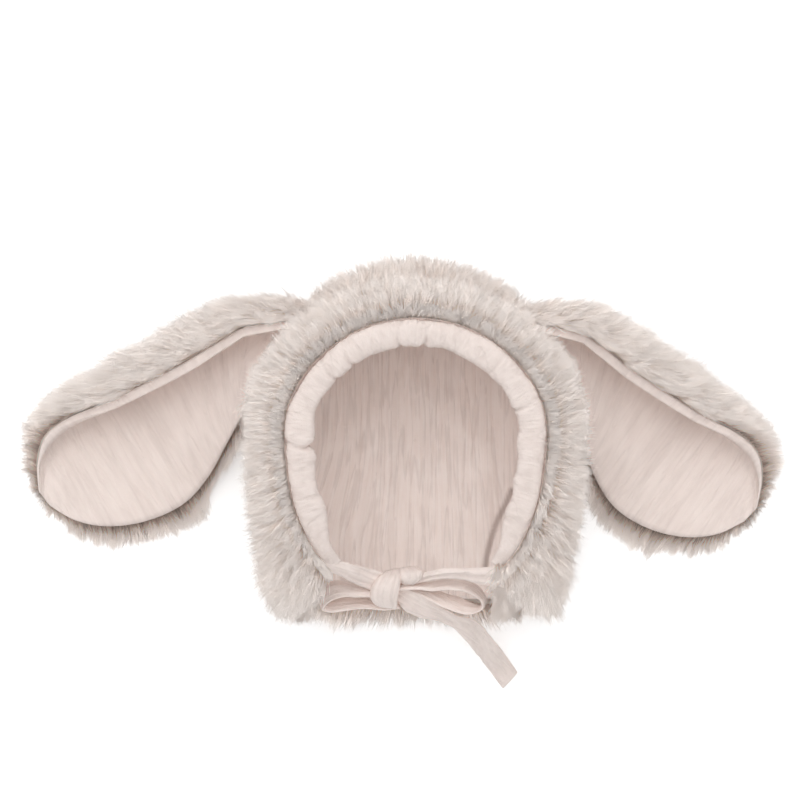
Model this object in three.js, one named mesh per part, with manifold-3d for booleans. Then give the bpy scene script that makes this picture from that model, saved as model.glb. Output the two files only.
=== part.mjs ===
// Baby bonnet with long rabbit ears, in deep plush pile lined with crinkled cotton gauze. It lies on its back
// with the face opening up, its ears spread on the surface and its two ties done up in a bow.
// Units are millimetres. The origin is on the surface that the bonnet lies on, under the middle of its back.
// +Y runs towards the top of the head, +Z out of the face opening and +X to the right of one who looks in.
import * as THREE from "three";
import Module from "manifold-3d";

const wasm = await Module();
wasm.setup();
const { clamp, degToRad, lerp, smoothstep } = THREE.MathUtils;

// Cloth and pile
const GAUZE = 1.6;
const BACKING = 1.9;
const PILE = 11;
const PILE_PRESSED = 6.5;
const LOCK_RISE = 4;
const LOCK_LEAN = 6;
const GAP = 0.4;
const EAR_CLEARANCE = 1.6;

// Crown: the bowl behind the seam that the ears are sewn into
const CROWN_HALF_WIDTH = 76;
const CROWN_RISE = 70;
const NAPE_DROP = 91;
const SEAM_HEIGHT = 60;

// Band: the deep strip round the face, with its two cheek flaps
const OPENING_HALF_WIDTH = 70;
const OPENING_RISE = 67;
const FLAP_DROP = 69;
const FRONT_HEIGHT = 98;
const BAND_BULGE = 4;
const FLAP_TURN = 0.78;

// Padded edge round the face opening
const RIM_WIDTH = 13.5;
const RIM_THICKNESS = 8;
const RIM_GATHERS = 15;
const GATHER_DEPTH = 0.7;

// Ears, each curled over along its upper edge
const EAR_WIDTH = 73;
const EAR_ROOT = { upper: 0.12, lower: 0.3 };
const LEFT_EAR = { name: "ear_left", side: -1, length: 190, droop: 32.5 };
const RIGHT_EAR = { name: "ear_right", side: 1, length: 178, droop: 38.5 };
const EAR_HEM = { rise: 4, width: 0.07 };
const EDGE_FRINGE = 6;
const FLAP_FRINGE = 9;

// Ties and bow
const TIE_WIDTH = 11.5;
const TIE_THICKNESS = 2.2;
const KNOT = { x: -12, y: -80.5, z: 62 };
const KNOT_SIZE = { x: 19, y: 22, z: 15 };
const LOOP_REACH = 44;
const TAIL_REACH = { x: 69, y: -60 };

// Crease in the lining
const CREASE_DEPTH = 1;
const CREASE_PITCH = 17;

// Height of the crown's and ears' cloth over the surface that they lie on
const CLOTH_REST = PILE_PRESSED + BACKING + GAP;

// The crown's edge, from the top of the head (turn 0) to the nape (turn 1), as shares of the crown's sizes.
// The last three columns shape the cloth between the middle of the back and that edge.
const CROWN_EDGE = [
  { turn: 0.0, across: 0.0, up: 1.0, height: 1.0, flat: 0.9, bulge: 1.72, climb: 0.28 },
  { turn: 0.13, across: 0.42, up: 0.94, height: 1.0, flat: 0.9, bulge: 1.56, climb: 0.28 },
  { turn: 0.26, across: 0.78, up: 0.74, height: 1.0, flat: 0.86, bulge: 1.2, climb: 0.28 },
  { turn: 0.39, across: 0.96, up: 0.39, height: 0.98, flat: 0.82, bulge: 1.08, climb: 0.3 },
  { turn: 0.5, across: 1.0, up: 0.0, height: 0.95, flat: 0.78, bulge: 1.06, climb: 0.32 },
  { turn: 0.62, across: 1.0, up: -0.4, height: 0.88, flat: 0.76, bulge: 1.06, climb: 0.32 },
  { turn: 0.72, across: 0.98, up: -0.72, height: 0.8, flat: 0.74, bulge: 1.04, climb: 0.3 },
  { turn: 0.78, across: 0.92, up: -0.88, height: 0.7, flat: 0.72, bulge: 1.02, climb: 0.25 },
  { turn: 0.86, across: 0.66, up: -0.98, height: 0.3, flat: 0.66, bulge: 0.98, climb: 0.1 },
  { turn: 0.93, across: 0.33, up: -1.0, height: 0.1, flat: 0.6, bulge: 0.9, climb: 0.05 },
  { turn: 1.0, across: 0.0, up: -1.0, height: 0.06, flat: 0.55, bulge: 0.85, climb: 0.0 },
];

// The band's front edge, from the middle of the forehead (along 0) to a flap's corner (along 1), as shares of
// the opening's sizes.
const FRONT_EDGE = [
  { along: 0.0, across: 0.0, up: 1.0, height: 1.0 },
  { along: 0.16, across: 0.42, up: 0.91, height: 1.0 },
  { along: 0.32, across: 0.77, up: 0.65, height: 1.0 },
  { along: 0.48, across: 0.97, up: 0.31, height: 0.995 },
  { along: 0.64, across: 1.0, up: -0.05, height: 0.985 },
  { along: 0.8, across: 0.94, up: -0.47, height: 0.95 },
  { along: 0.92, across: 0.81, up: -0.8, height: 0.89 },
  { along: 1.0, across: 0.67, up: -1.0, height: 0.84 },
];

// An ear from its root (out 0) to its tip (out 1). Shares of its length run along it and shares of EAR_WIDTH
// across it, to its free edge (low) and to its fold. The fold's edge curls over by curl degrees at a radius
// that is a share of EAR_WIDTH, and lift is the share of the root's height that is left.
const EAR_SHAPE = [
  { out: 0.0, lowAlong: 0.0, low: 0.0, foldAlong: 0.0, fold: 0.0, curl: 90, radius: 0.12, lift: 1.0 },
  { out: 0.12, lowAlong: 0.25, low: -0.02, foldAlong: 0.12, fold: 0.4, curl: 160, radius: 0.17, lift: 0.74 },
  { out: 0.24, lowAlong: 0.34, low: -0.14, foldAlong: 0.24, fold: 0.51, curl: 180, radius: 0.18, lift: 0.46 },
  { out: 0.36, lowAlong: 0.43, low: -0.26, foldAlong: 0.38, fold: 0.55, curl: 186, radius: 0.18, lift: 0.24 },
  { out: 0.48, lowAlong: 0.535, low: -0.4, foldAlong: 0.535, fold: 0.59, curl: 186, radius: 0.18, lift: 0.1 },
  { out: 0.6, lowAlong: 0.64, low: -0.47, foldAlong: 0.66, fold: 0.61, curl: 180, radius: 0.175, lift: 0.03 },
  { out: 0.72, lowAlong: 0.76, low: -0.43, foldAlong: 0.775, fold: 0.6, curl: 155, radius: 0.16, lift: 0.0 },
  { out: 0.84, lowAlong: 0.87, low: -0.3, foldAlong: 0.875, fold: 0.53, curl: 120, radius: 0.14, lift: 0.0 },
  { out: 0.94, lowAlong: 0.945, low: -0.12, foldAlong: 0.945, fold: 0.41, curl: 80, radius: 0.11, lift: 0.0 },
  { out: 1.0, lowAlong: 0.985, low: 0.08, foldAlong: 0.99, fold: 0.25, curl: 50, radius: 0.09, lift: 0.0 },
];

// Value of a table's column at a place between its rows, on a smooth curve through them. The curve is
// mirrored past the first row and, unless open, past the last one. Odd says that the mirror changes its sign.
function sample(rows, key, column, place, { odd = false, open = false } = {}) {
  const last = rows.length - 1;
  const sign = odd ? -1 : 1;
  let i = 1;
  while (i < last && rows[i][key] < place) i += 1;
  const from = rows[i - 1];
  const to = rows[i];
  const before = rows[i - 2] ?? { [key]: 2 * from[key] - to[key], [column]: sign * to[column] };
  const past = open ? 2 * to[column] - from[column] : sign * from[column];
  const after = rows[i + 1] ?? { [key]: 2 * to[key] - from[key], [column]: past };
  const span = to[key] - from[key];
  const slopeFrom = ((to[column] - before[column]) / (to[key] - before[key])) * span;
  const slopeTo = ((after[column] - from[column]) / (after[key] - from[key])) * span;
  const t = clamp((place - from[key]) / span, 0, 1);
  return (
    (2 * t ** 3 - 3 * t ** 2 + 1) * from[column] +
    (t ** 3 - 2 * t ** 2 + t) * slopeFrom +
    (3 * t ** 2 - 2 * t ** 3) * to[column] +
    (t ** 3 - t ** 2) * slopeTo
  );
}

// The same number from 0 to 1 for the same two whole numbers, so that locks differ but every build is alike.
function scatter(i, j) {
  const wave = Math.sin(i * 12.9898 + j * 78.233) * 43758.5453;
  return wave - Math.floor(wave);
}

const along = (point, direction, distance) => point.clone().addScaledVector(direction, distance);
const mix = (a, b, share) => a.clone().lerp(b, share);
const UP = new THREE.Vector3(0, 0, 1);

// Faces of one closed solid, gathered from grids and strips.
class Skin {
  constructor() {
    this.points = [];
    this.faces = [];
  }

  add(point) {
    this.points.push(point);
    return this.points.length - 1;
  }

  face(a, b, c, flipped) {
    this.faces.push(flipped ? [a, c, b] : [a, b, c]);
  }

  // A grid of wide by tall cells, and the loop round its edge.
  grid(wide, tall, place, flipped) {
    const rows = [];
    for (let j = 0; j <= tall; j += 1) {
      rows.push([]);
      for (let i = 0; i <= wide; i += 1) rows[j].push(this.add(place(i / wide, j / tall, i, j)));
    }
    for (let j = 0; j < tall; j += 1) {
      for (let i = 0; i < wide; i += 1) {
        this.face(rows[j][i], rows[j][i + 1], rows[j + 1][i + 1], flipped);
        this.face(rows[j][i], rows[j + 1][i + 1], rows[j + 1][i], flipped);
      }
    }
    const right = rows.map((row) => row[wide]);
    const left = rows.map((row) => row[0]);
    return [
      ...rows[0].slice(0, wide),
      ...right.slice(0, tall),
      ...rows[tall].slice(1).reverse(),
      ...left.slice(1).reverse(),
    ];
  }

  // A round grid with its middle in one point, and the loop round its edge.
  disc(round, tall, place, flipped) {
    const middle = this.add(place(0, 0, 0, 0));
    const rows = [];
    for (let j = 1; j <= tall; j += 1) {
      rows.push([]);
      for (let i = 0; i < round; i += 1) rows[j - 1].push(this.add(place(i / round, j / tall, i, j)));
    }
    for (let i = 0; i < round; i += 1) {
      const next = (i + 1) % round;
      this.face(middle, rows[0][next], rows[0][i], flipped);
      for (let j = 0; j < tall - 1; j += 1) {
        this.face(rows[j][i], rows[j][next], rows[j + 1][next], flipped);
        this.face(rows[j][i], rows[j + 1][next], rows[j + 1][i], flipped);
      }
    }
    return [...rows[tall - 1]].reverse();
  }

  // Joins the loop of a grid to the loop of the flipped grid behind it, which has as many points or a whole
  // fraction.
  join(outer, inner) {
    const each = outer.length / inner.length;
    const middle = Math.ceil(each / 2);
    for (let m = 0; m < inner.length; m += 1) {
      const next = (m + 1) % inner.length;
      for (let q = 0; q < each; q += 1) {
        const a = outer[m * each + q];
        const b = outer[(m * each + q + 1) % outer.length];
        this.face(b, a, inner[q >= middle ? next : m], false);
      }
      this.face(inner[m], inner[next], outer[(m * each + middle) % outer.length], false);
    }
  }

  // Rings of points along a path, closed with a flat cap at each end.
  tube(rings) {
    const loops = rings.map((ring) => ring.map((point) => this.add(point)));
    const sides = loops[0].length;
    for (let j = 0; j < loops.length - 1; j += 1) {
      for (let i = 0; i < sides; i += 1) {
        const next = (i + 1) % sides;
        this.face(loops[j][i], loops[j][next], loops[j + 1][next], false);
        this.face(loops[j][i], loops[j + 1][next], loops[j + 1][i], false);
      }
    }
    const end = loops[loops.length - 1];
    for (let i = 1; i < sides - 1; i += 1) {
      this.face(loops[0][0], loops[0][i + 1], loops[0][i], false);
      this.face(end[0], end[i], end[i + 1], false);
    }
  }

  solid() {
    const volume = this.faces.reduce((sum, [a, b, c]) => {
      const [p, q, r] = [this.points[a], this.points[b], this.points[c]];
      return sum + p.dot(q.clone().cross(r));
    }, 0);
    const faces = volume < 0 ? this.faces.map(([a, b, c]) => [a, c, b]) : this.faces;
    return new wasm.Manifold(
      new wasm.Mesh({
        numProp: 3,
        vertProperties: new Float32Array(this.points.flatMap((p) => p.toArray())),
        triVerts: new Uint32Array(faces.flat()),
      }),
    );
  }
}

// What is left of a solid when others are cut from it, without the scraps.
function trimmed(solid, ...cutters) {
  const left = cutters.reduce((rest, cutter) => rest.subtract(cutter), solid);
  return left.decompose().reduce((best, piece) => (piece.volume() > best.volume() ? piece : best));
}

// Outward direction of a surface given by a function of two shares.
function facing(surface, u, v, outside) {
  const step = 0.004;
  const across = surface(u + step, v).sub(surface(u - step, v));
  const down = surface(u, Math.min(1, v + step)).sub(surface(u, Math.max(0, v - step)));
  const normal = across.cross(down).normalize();
  return normal.dot(outside) < 0 ? normal.negate() : normal;
}

// Crown

// Place on the crown's edge. A turn runs from -1 to 1, left of the nape to right of it, past the top at 0.
function crownEdge(turn) {
  const wrapped = turn > 1 ? turn - 2 : turn < -1 ? turn + 2 : turn;
  const half = Math.abs(wrapped);
  const read = (column, odd = false) => sample(CROWN_EDGE, "turn", column, half, { odd });
  const up = read("up");
  return {
    point: new THREE.Vector3(
      Math.sign(wrapped) * CROWN_HALF_WIDTH * read("across", true),
      up * (up > 0 ? CROWN_RISE : NAPE_DROP),
      lerp(CLOTH_REST, SEAM_HEIGHT, read("height")),
    ),
    flat: read("flat"),
    bulge: read("bulge"),
    climb: read("climb"),
  };
}

// The outer face of the crown's lining, from the middle of the back (reach 0) to the edge (reach 1).
function crownCloth(turn, reach) {
  const { point, flat, bulge, climb } = crownEdge(turn);
  const control = (share, height) =>
    new THREE.Vector3(point.x * share, point.y * share, lerp(CLOTH_REST, point.z, height));
  const profile = new THREE.CubicBezierCurve3(control(0, 0), control(flat, 0), control(bulge, climb), point);
  return profile.getPoint(reach);
}

function crownFacing(turn, reach) {
  const safeReach = Math.max(reach, 0.03);
  const place = crownCloth(turn, safeReach);
  return facing(crownCloth, turn, safeReach, place.clone().sub(new THREE.Vector3(0, 0, SEAM_HEIGHT)));
}

// Which share of a turn's edge is free cloth at the neck, and not the seam with the band.
const neckShare = (turn) => smoothstep(Math.abs(turn), FLAP_TURN - 0.02, FLAP_TURN + 0.06);

// The direction of the wall that crown and band both have at their seam.
function seamFacing(turn) {
  const band = bandFacing(turn / FLAP_TURN, 0);
  return crownFacing(turn, 1).add(band).normalize();
}

// The same at the crown's edge, where the seam gives way to the free edge of the nape.
function edgeFacing(turn) {
  const sewn = seamFacing(clamp(turn, -FLAP_TURN, FLAP_TURN));
  return mix(sewn, crownFacing(turn, 1), neckShare(turn));
}

const CROWN_COLUMNS = 60;
const CROWN_ROWS = 12;
const crownReach = (share) => share ** 0.7;

function crownPile() {
  const skin = new Skin();
  const outer = skin.disc(CROWN_COLUMNS, CROWN_ROWS, (round, share, i, j) => {
    const turn = 2 * round - 1;
    const reach = crownReach(share);
    const edge = j === CROWN_ROWS;
    const neck = neckShare(turn);
    const out = edge ? edgeFacing(turn) : crownFacing(turn, reach);
    const valley = lerp(1 - 0.5 * smoothstep(reach, 0.86, 1), 0.75, neck * smoothstep(reach, 0.9, 1));
    const sewn = j >= CROWN_ROWS - 1 && neck === 0;
    const tip = !edge && !sewn && j % 2 === 1 && (i + (j - 1) / 2) % 2 === 0;
    const rise = tip ? LOCK_RISE * (0.6 + 0.8 * scatter(i, j)) : -0.16 * PILE * scatter(j, i);
    const place = along(crownCloth(turn, reach), out, GAP + BACKING + PILE * valley + rise * valley);
    const spoke = crownCloth(turn, Math.max(0, reach - 0.04)).sub(crownCloth(turn, reach)).normalize();
    if (tip && reach > 0.5 && reach < 0.95) place.addScaledVector(spoke, LOCK_LEAN);
    if (edge) place.addScaledVector(spoke, -EDGE_FRINGE * neck * (0.7 + 0.6 * scatter(i, j)));
    place.z = Math.max(0, place.z);
    return place;
  });
  const inner = skin.disc(
    CROWN_COLUMNS / 2,
    CROWN_ROWS / 2,
    (round, share) => {
      const turn = 2 * round - 1;
      const reach = crownReach(share);
      return along(crownCloth(turn, reach), share === 1 ? edgeFacing(turn) : crownFacing(turn, reach), GAP);
    },
    true,
  );
  skin.join(outer, inner);
  return skin.solid();
}

// How far the lining's creases, which run from the nape up over the back, stand out at a place.
function crease(place) {
  const spread = 1 + (0.25 * place.y) / CROWN_RISE;
  const phase = (place.x / spread / CREASE_PITCH) * Math.PI * 2;
  return CREASE_DEPTH * (0.5 + 0.5 * Math.cos(phase + 1.7 * Math.sin(place.x / 31)));
}

// A wall that follows the crown, from outside its lining's outer face to inside it.
function crownWall(outside, inside) {
  const skin = new Skin();
  const layer = (depth, flipped) =>
    skin.disc(
      CROWN_COLUMNS / 2,
      CROWN_ROWS / 2,
      (round, share) => {
        const turn = 2 * round - 1;
        const reach = crownReach(share);
        const place = crownCloth(turn, reach);
        return along(place, share === 1 ? edgeFacing(turn) : crownFacing(turn, reach), depth(place));
      },
      flipped,
    );
  skin.join(layer(outside, false), layer(inside, true));
  return skin.solid();
}

const crownLining = () => crownWall(() => 0, (at) => -GAUZE - crease(at));

// Band

// Place on the band's front edge. The share runs from -1 at the left flap's corner to 1 at the right one's.
function frontEdge(share) {
  const half = Math.abs(share);
  const read = (column, odd = false) => sample(FRONT_EDGE, "along", column, half, { odd, open: true });
  const up = read("up");
  return new THREE.Vector3(
    Math.sign(share) * OPENING_HALF_WIDTH * read("across", true),
    up * (up > 0 ? OPENING_RISE : FLAP_DROP),
    FRONT_HEIGHT * read("height"),
  );
}

// The outer face of the band's lining, from the seam (reach 0) to the front edge (reach 1).
function bandCloth(share, reach) {
  const held = clamp(share, -1, 1);
  const seam = crownEdge(held * FLAP_TURN).point;
  const front = frontEdge(held);
  const step = 0.01;
  const ahead = Math.min(1, held + step);
  const behind = Math.max(-1, held - step);
  const tangent = frontEdge(ahead).sub(frontEdge(behind));
  const out = tangent.cross(front.clone().sub(seam)).normalize();
  if (out.dot(new THREE.Vector3(seam.x, seam.y, 0)) < 0) out.negate();
  return along(mix(seam, front, reach), out, BAND_BULGE * Math.sin(Math.PI * reach));
}

function bandFacing(share, reach) {
  const place = bandCloth(share, reach);
  return facing(bandCloth, clamp(share, -0.99, 0.99), reach, new THREE.Vector3(place.x, place.y, 0));
}

const BAND_COLUMNS = 60;
const BAND_ROWS = 8;
const SEAM_GAP = 0.012;
const bandReach = (share) => lerp(SEAM_GAP, 1, share);

function bandPile() {
  const skin = new Skin();
  const outer = skin.grid(BAND_COLUMNS, BAND_ROWS, (share, row, i, j) => {
    const place = 2 * share - 1;
    const reach = bandReach(row);
    const out = j === 0 ? seamFacing(place * FLAP_TURN) : bandFacing(place, reach);
    const full = (0.5 + 0.5 * smoothstep(reach, 0, 0.3)) * (1 - 0.55 * smoothstep(reach, 0.72, 1));
    const inside = j > 0 && j < BAND_ROWS && i > 0 && i < BAND_COLUMNS;
    const tip = inside && j % 2 === 1 && (i + (j - 1) / 2) % 2 === 0;
    const rise = tip ? LOCK_RISE * (0.6 + 0.8 * scatter(i, j)) : -0.16 * PILE * scatter(j, i);
    const point = along(bandCloth(place, reach), out, GAP + BACKING + (PILE + rise) * full);
    const back = bandCloth(place, Math.max(0, reach - 0.05)).sub(bandCloth(place, reach)).normalize();
    if (tip && j > 1) point.addScaledVector(back, LOCK_LEAN);
    const end = i === 0 || i === BAND_COLUMNS;
    if (end) {
      const past = frontEdge(place).sub(frontEdge(place * 0.97)).setZ(0).normalize();
      point.addScaledVector(past, FLAP_FRINGE * (0.6 + 0.4 * scatter(i, j)) * smoothstep(reach, 0, 0.2));
    }
    return point;
  });
  const inner = skin.grid(
    BAND_COLUMNS / 2,
    BAND_ROWS / 2,
    (share, row) => {
      const place = 2 * share - 1;
      const reach = bandReach(row);
      const out = row === 0 ? seamFacing(place * FLAP_TURN) : bandFacing(place, reach);
      return along(bandCloth(place, reach), out, GAP);
    },
    true,
  );
  skin.join(outer, inner);
  return skin.solid();
}

// A wall that follows the band, from outside its lining's outer face to inside it.
function bandWall(outside, inside, start = SEAM_GAP) {
  const skin = new Skin();
  const layer = (depth, flipped) =>
    skin.grid(
      BAND_COLUMNS / 2,
      BAND_ROWS / 2,
      (share, row) => {
        const place = 2 * share - 1;
        const reach = lerp(start, 1, row);
        const out = row === 0 ? seamFacing(place * FLAP_TURN) : bandFacing(place, reach);
        return along(bandCloth(place, reach), out, depth);
      },
      flipped,
    );
  skin.join(layer(outside, false), layer(inside, true));
  return skin.solid();
}

const bandLining = () => bandWall(0, -GAUZE);

// Padded edge

const RIM_STEPS = 60;
const RIM_SIDES = 8;

// The roll of gauze along the band's front edge, grown all round by the clearance that a cutter needs.
function faceRim(grow = 0) {
  const skin = new Skin();
  const rings = [];
  for (let k = 0; k <= RIM_STEPS; k += 1) {
    const share = (2 * k) / RIM_STEPS - 1;
    const edge = frontEdge(share);
    const step = 0.01;
    const ahead = frontEdge(Math.min(1, share + step));
    const tangent = ahead.sub(frontEdge(Math.max(-1, share - step))).normalize();
    const down = bandCloth(share, 0.9).sub(bandCloth(share, 1)).normalize();
    const inward = tangent.clone().cross(UP).normalize();
    if (inward.dot(edge) > 0) inward.negate();
    const wave = share * RIM_GATHERS * Math.PI + 2 * Math.sin(share * 9);
    const gather = 1 + (GATHER_DEPTH / RIM_WIDTH) * Math.sin(wave);
    const taper = 1 - 0.35 * smoothstep(Math.abs(share), 0.86, 1);
    const width = (RIM_WIDTH / 2) * gather * taper;
    const wide = width + grow;
    const thick = (RIM_THICKNESS / 2) * taper + grow;
    const flank = width * Math.cos(Math.PI / RIM_SIDES);
    const centre = along(edge, inward, GAUZE + GAP + flank).addScaledVector(down, -RIM_THICKNESS * 0.1);
    const ring = [];
    for (let m = 0; m < RIM_SIDES; m += 1) {
      const angle = ((m + 0.5) / RIM_SIDES) * Math.PI * 2;
      ring.push(along(centre, inward, wide * Math.cos(angle)).addScaledVector(UP, thick * Math.sin(angle)));
    }
    const past = k === 0 ? -grow : k === RIM_STEPS ? grow : 0;
    rings.push(ring.map((point) => along(point, tangent, past)));
  }
  skin.tube(rings);
  return skin.solid();
}

// Ears

// Place on the sheet between an ear's pile and its gauze, and the directions there. Out runs from root to tip
// and over from the free edge (0) by way of the start of the curl (CURL_START) to the curled edge (1).
const CURL_START = 0.5;

function earSheet(ear, out, over) {
  const read = (column) => sample(EAR_SHAPE, "out", column, out, { open: true });
  const root = (turn) => {
    const edge = crownEdge(ear.side * turn).point;
    return along(edge, seamFacing(ear.side * turn), BACKING + 2 * GAP);
  };
  const upper = root(EAR_ROOT.upper);
  const lower = root(EAR_ROOT.lower);
  const middle = mix(upper, lower, 0.5);
  const angle = degToRad(ear.droop);
  const axis = new THREE.Vector3(ear.side * Math.cos(angle), -Math.sin(angle), 0);
  const above = new THREE.Vector3(ear.side * Math.sin(angle), Math.cos(angle), 0);
  const rise = lerp(CLOTH_REST, middle.z, read("lift"));
  const local = (share, across) =>
    along(along(middle, axis, share * ear.length), above, across * EAR_WIDTH).setZ(rise);
  const fromRoot = clamp(1 - out / 0.17, 0, 1);
  const low = mix(local(read("lowAlong"), read("low")), lower, fromRoot);
  const fold = mix(local(read("foldAlong"), read("fold")), upper, fromRoot);
  const side = fold.clone().sub(low).normalize();
  const radius = read("radius") * EAR_WIDTH;
  const bend = along(fold, side, -radius);
  const flat = clamp(over / CURL_START, 0, 1);
  const turn = degToRad(read("curl")) * clamp((over - CURL_START) / (1 - CURL_START), 0, 1);
  return {
    point: mix(low, bend, flat)
      .addScaledVector(side, radius * Math.sin(turn))
      .addScaledVector(UP, radius * (1 - Math.cos(turn))),
    under: side.clone().multiplyScalar(Math.sin(turn)).addScaledVector(UP, -Math.cos(turn)),
    onward: side.clone().multiplyScalar(Math.cos(turn)).addScaledVector(UP, Math.sin(turn)),
    axis,
  };
}

const rootFacing = (ear) => seamFacing(ear.side * 0.5 * (EAR_ROOT.upper + EAR_ROOT.lower));

const EAR_ROWS = 24;
const EAR_OVER = 12;
const HEMMED = 1 - EAR_HEM.width;
const HEM_COLUMNS = 2;

// Where the columns of an ear's layers lie: a third of them over the flat part and the others round the curl.
const FLAT_COLUMNS = 1 / 3;
function columnOver(share) {
  if (share < FLAT_COLUMNS) return (share / FLAT_COLUMNS) * CURL_START;
  return lerp(CURL_START, 1, (share - FLAT_COLUMNS) / (1 - FLAT_COLUMNS));
}

// An ear's pile, or the same shape with its gauze and a clearance all round, to cut room for the ear.
function earPile(ear, room = 0) {
  const skin = new Skin();
  const outer = skin.grid(EAR_ROWS, EAR_OVER, (out, overShare, i, j) => {
    const over = columnOver(overShare) * (room > 0 ? 1 : HEMMED);
    const { point, under, onward, axis } = earSheet(ear, out, over);
    const edge = i === 0 || i === EAR_ROWS || j === 0 || j === EAR_OVER;
    const grown = lerp(0.15, 1, smoothstep(out, 0.02, 0.22)) * lerp(1, 0.6, smoothstep(out, 0.9, 1));
    const tip = !edge && room === 0 && out > 0.16 && i % 2 === 1 && (j + (i - 1) / 2) % 2 === 0;
    const rise = tip ? LOCK_RISE * (0.5 + 0.8 * scatter(i, j)) : -0.14 * PILE * scatter(j, i);
    const depth = edge && i > 0 ? 0.55 * PILE * grown : (PILE + rise) * grown;
    const place = along(point, under, GAP + BACKING + depth + room);
    if (tip) place.addScaledVector(axis, LOCK_LEAN * grown);
    if (j === 0) place.addScaledVector(onward, -EDGE_FRINGE * grown * (0.7 + 0.5 * scatter(i, j)) - 2 * room);
    if (j === EAR_OVER) place.addScaledVector(onward, room > 0 ? 2 * room : -GAP);
    if (i === EAR_ROWS) place.addScaledVector(axis, EDGE_FRINGE * 0.9 + room);
    if (i === 0) place.addScaledVector(rootFacing(ear), -room);
    if (room === 0) place.z = Math.max(0, place.z);
    return place;
  });
  const inner = skin.grid(
    EAR_ROWS / 2,
    EAR_OVER / 2,
    (out, overShare) => {
      const over = columnOver(overShare) * (room > 0 ? 1 : HEMMED);
      const { point, under, onward } = earSheet(ear, out, over);
      const place = along(point, under, room > 0 ? -GAUZE - 2 * room : GAP);
      if (overShare === 0) place.addScaledVector(onward, -2 * room);
      if (overShare === 1) place.addScaledVector(onward, room > 0 ? 2 * room : -GAP);
      if (out === 0) place.addScaledVector(rootFacing(ear), -room);
      return place;
    },
    true,
  );
  skin.join(outer, inner);
  return skin.solid();
}

function earLining(ear) {
  const skin = new Skin();
  const columns = EAR_OVER / 2;
  const layer = (outside, flipped) =>
    skin.grid(
      EAR_ROWS / 2,
      columns + HEM_COLUMNS,
      (out, share, i, j) => {
        const past = j - columns;
        const over = past > 0 ? lerp(HEMMED, 1, past === 1 ? 0.1 : 1) : HEMMED * columnOver(j / columns);
        const { point, under } = earSheet(ear, out, over);
        const open = smoothstep(out, 0.08, 0.3) * (1 - smoothstep(out, 0.8, 0.95));
        const hem = past > 0 ? EAR_HEM.rise * open : 0;
        return along(point, under, outside ? hem : -GAUZE);
      },
      flipped,
    );
  skin.join(layer(true, false), layer(false, true));
  return skin.solid();
}

// Ties

// A flat tie through a list of places, where tilt is how far it is turned off level about its own line.
function tie(places, grow = 0, steps = 12) {
  const spots = places.map((p) => new THREE.Vector3(p.x, p.y, p.z));
  const path = new THREE.CatmullRomCurve3(spots, false, "centripetal");
  const rows = places.map((p, k) => ({ at: k / (places.length - 1), tilt: p.tilt }));
  const corners = [
    { wide: 1, thick: 0.35 },
    { wide: 0.8, thick: 1 },
    { wide: -0.8, thick: 1 },
    { wide: -1, thick: 0.35 },
    { wide: -0.8, thick: -1 },
    { wide: 0.8, thick: -1 },
  ];
  const rings = [];
  for (let k = 0; k <= steps; k += 1) {
    const t = k / steps;
    const centre = path.getPoint(t);
    const tangent = path.getTangent(t);
    const level = tangent.clone().cross(UP).normalize();
    const raised = level.clone().cross(tangent).normalize();
    const tilt = degToRad(sample(rows, "at", "tilt", t, { open: true }));
    const wide = level.clone().multiplyScalar(Math.cos(tilt)).addScaledVector(raised, Math.sin(tilt));
    const thick = wide.clone().cross(tangent).normalize();
    const past = k === 0 ? -grow : k === steps ? grow : 0;
    rings.push(
      corners.map((corner) =>
        along(centre, wide, corner.wide * (TIE_WIDTH / 2 + grow))
          .addScaledVector(thick, corner.thick * (TIE_THICKNESS / 2 + grow))
          .addScaledVector(tangent, past),
      ),
    );
    for (const point of rings[k]) point.z = Math.max(grow > 0 ? -grow : 0, point.z);
  }
  const skin = new Skin();
  skin.tube(rings);
  return skin.solid();
}

// The knot: a plump wrap with a groove on each side, where the loops come out.
function knot(grow = 0) {
  const skin = new Skin();
  const sides = 12;
  const rings = [];
  for (let k = 1; k < 8; k += 1) {
    const polar = (k / 8) * Math.PI;
    const ring = [];
    for (let m = 0; m < sides; m += 1) {
      const angle = (m / sides) * Math.PI * 2;
      const full = Math.sin(polar) ** 0.6;
      ring.push(
        new THREE.Vector3(
          KNOT.x + (KNOT_SIZE.x / 2 + grow) * full * Math.cos(angle) * (1 + 0.06 * Math.cos(3 * angle)),
          KNOT.y - (KNOT_SIZE.y / 2 + grow) * Math.cos(polar),
          KNOT.z + (KNOT_SIZE.z / 2 + grow) * full * Math.sin(angle),
        ),
      );
    }
    rings.push(ring);
  }
  skin.tube(rings);
  return skin.solid();
}

// Places of the ties and loops, from the flaps' corners and from the knot.
const corner = (side) => frontEdge(side);
const fromKnot = (x, y, z, tilt) => ({ x: KNOT.x + x, y: KNOT.y + y, z: KNOT.z + z, tilt });
const fromCorner = (side, x, y, z, tilt) => {
  const { x: cx, y: cy, z: cz } = corner(side);
  return { x: cx + side * x, y: cy + y, z: cz + z, tilt };
};

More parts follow.
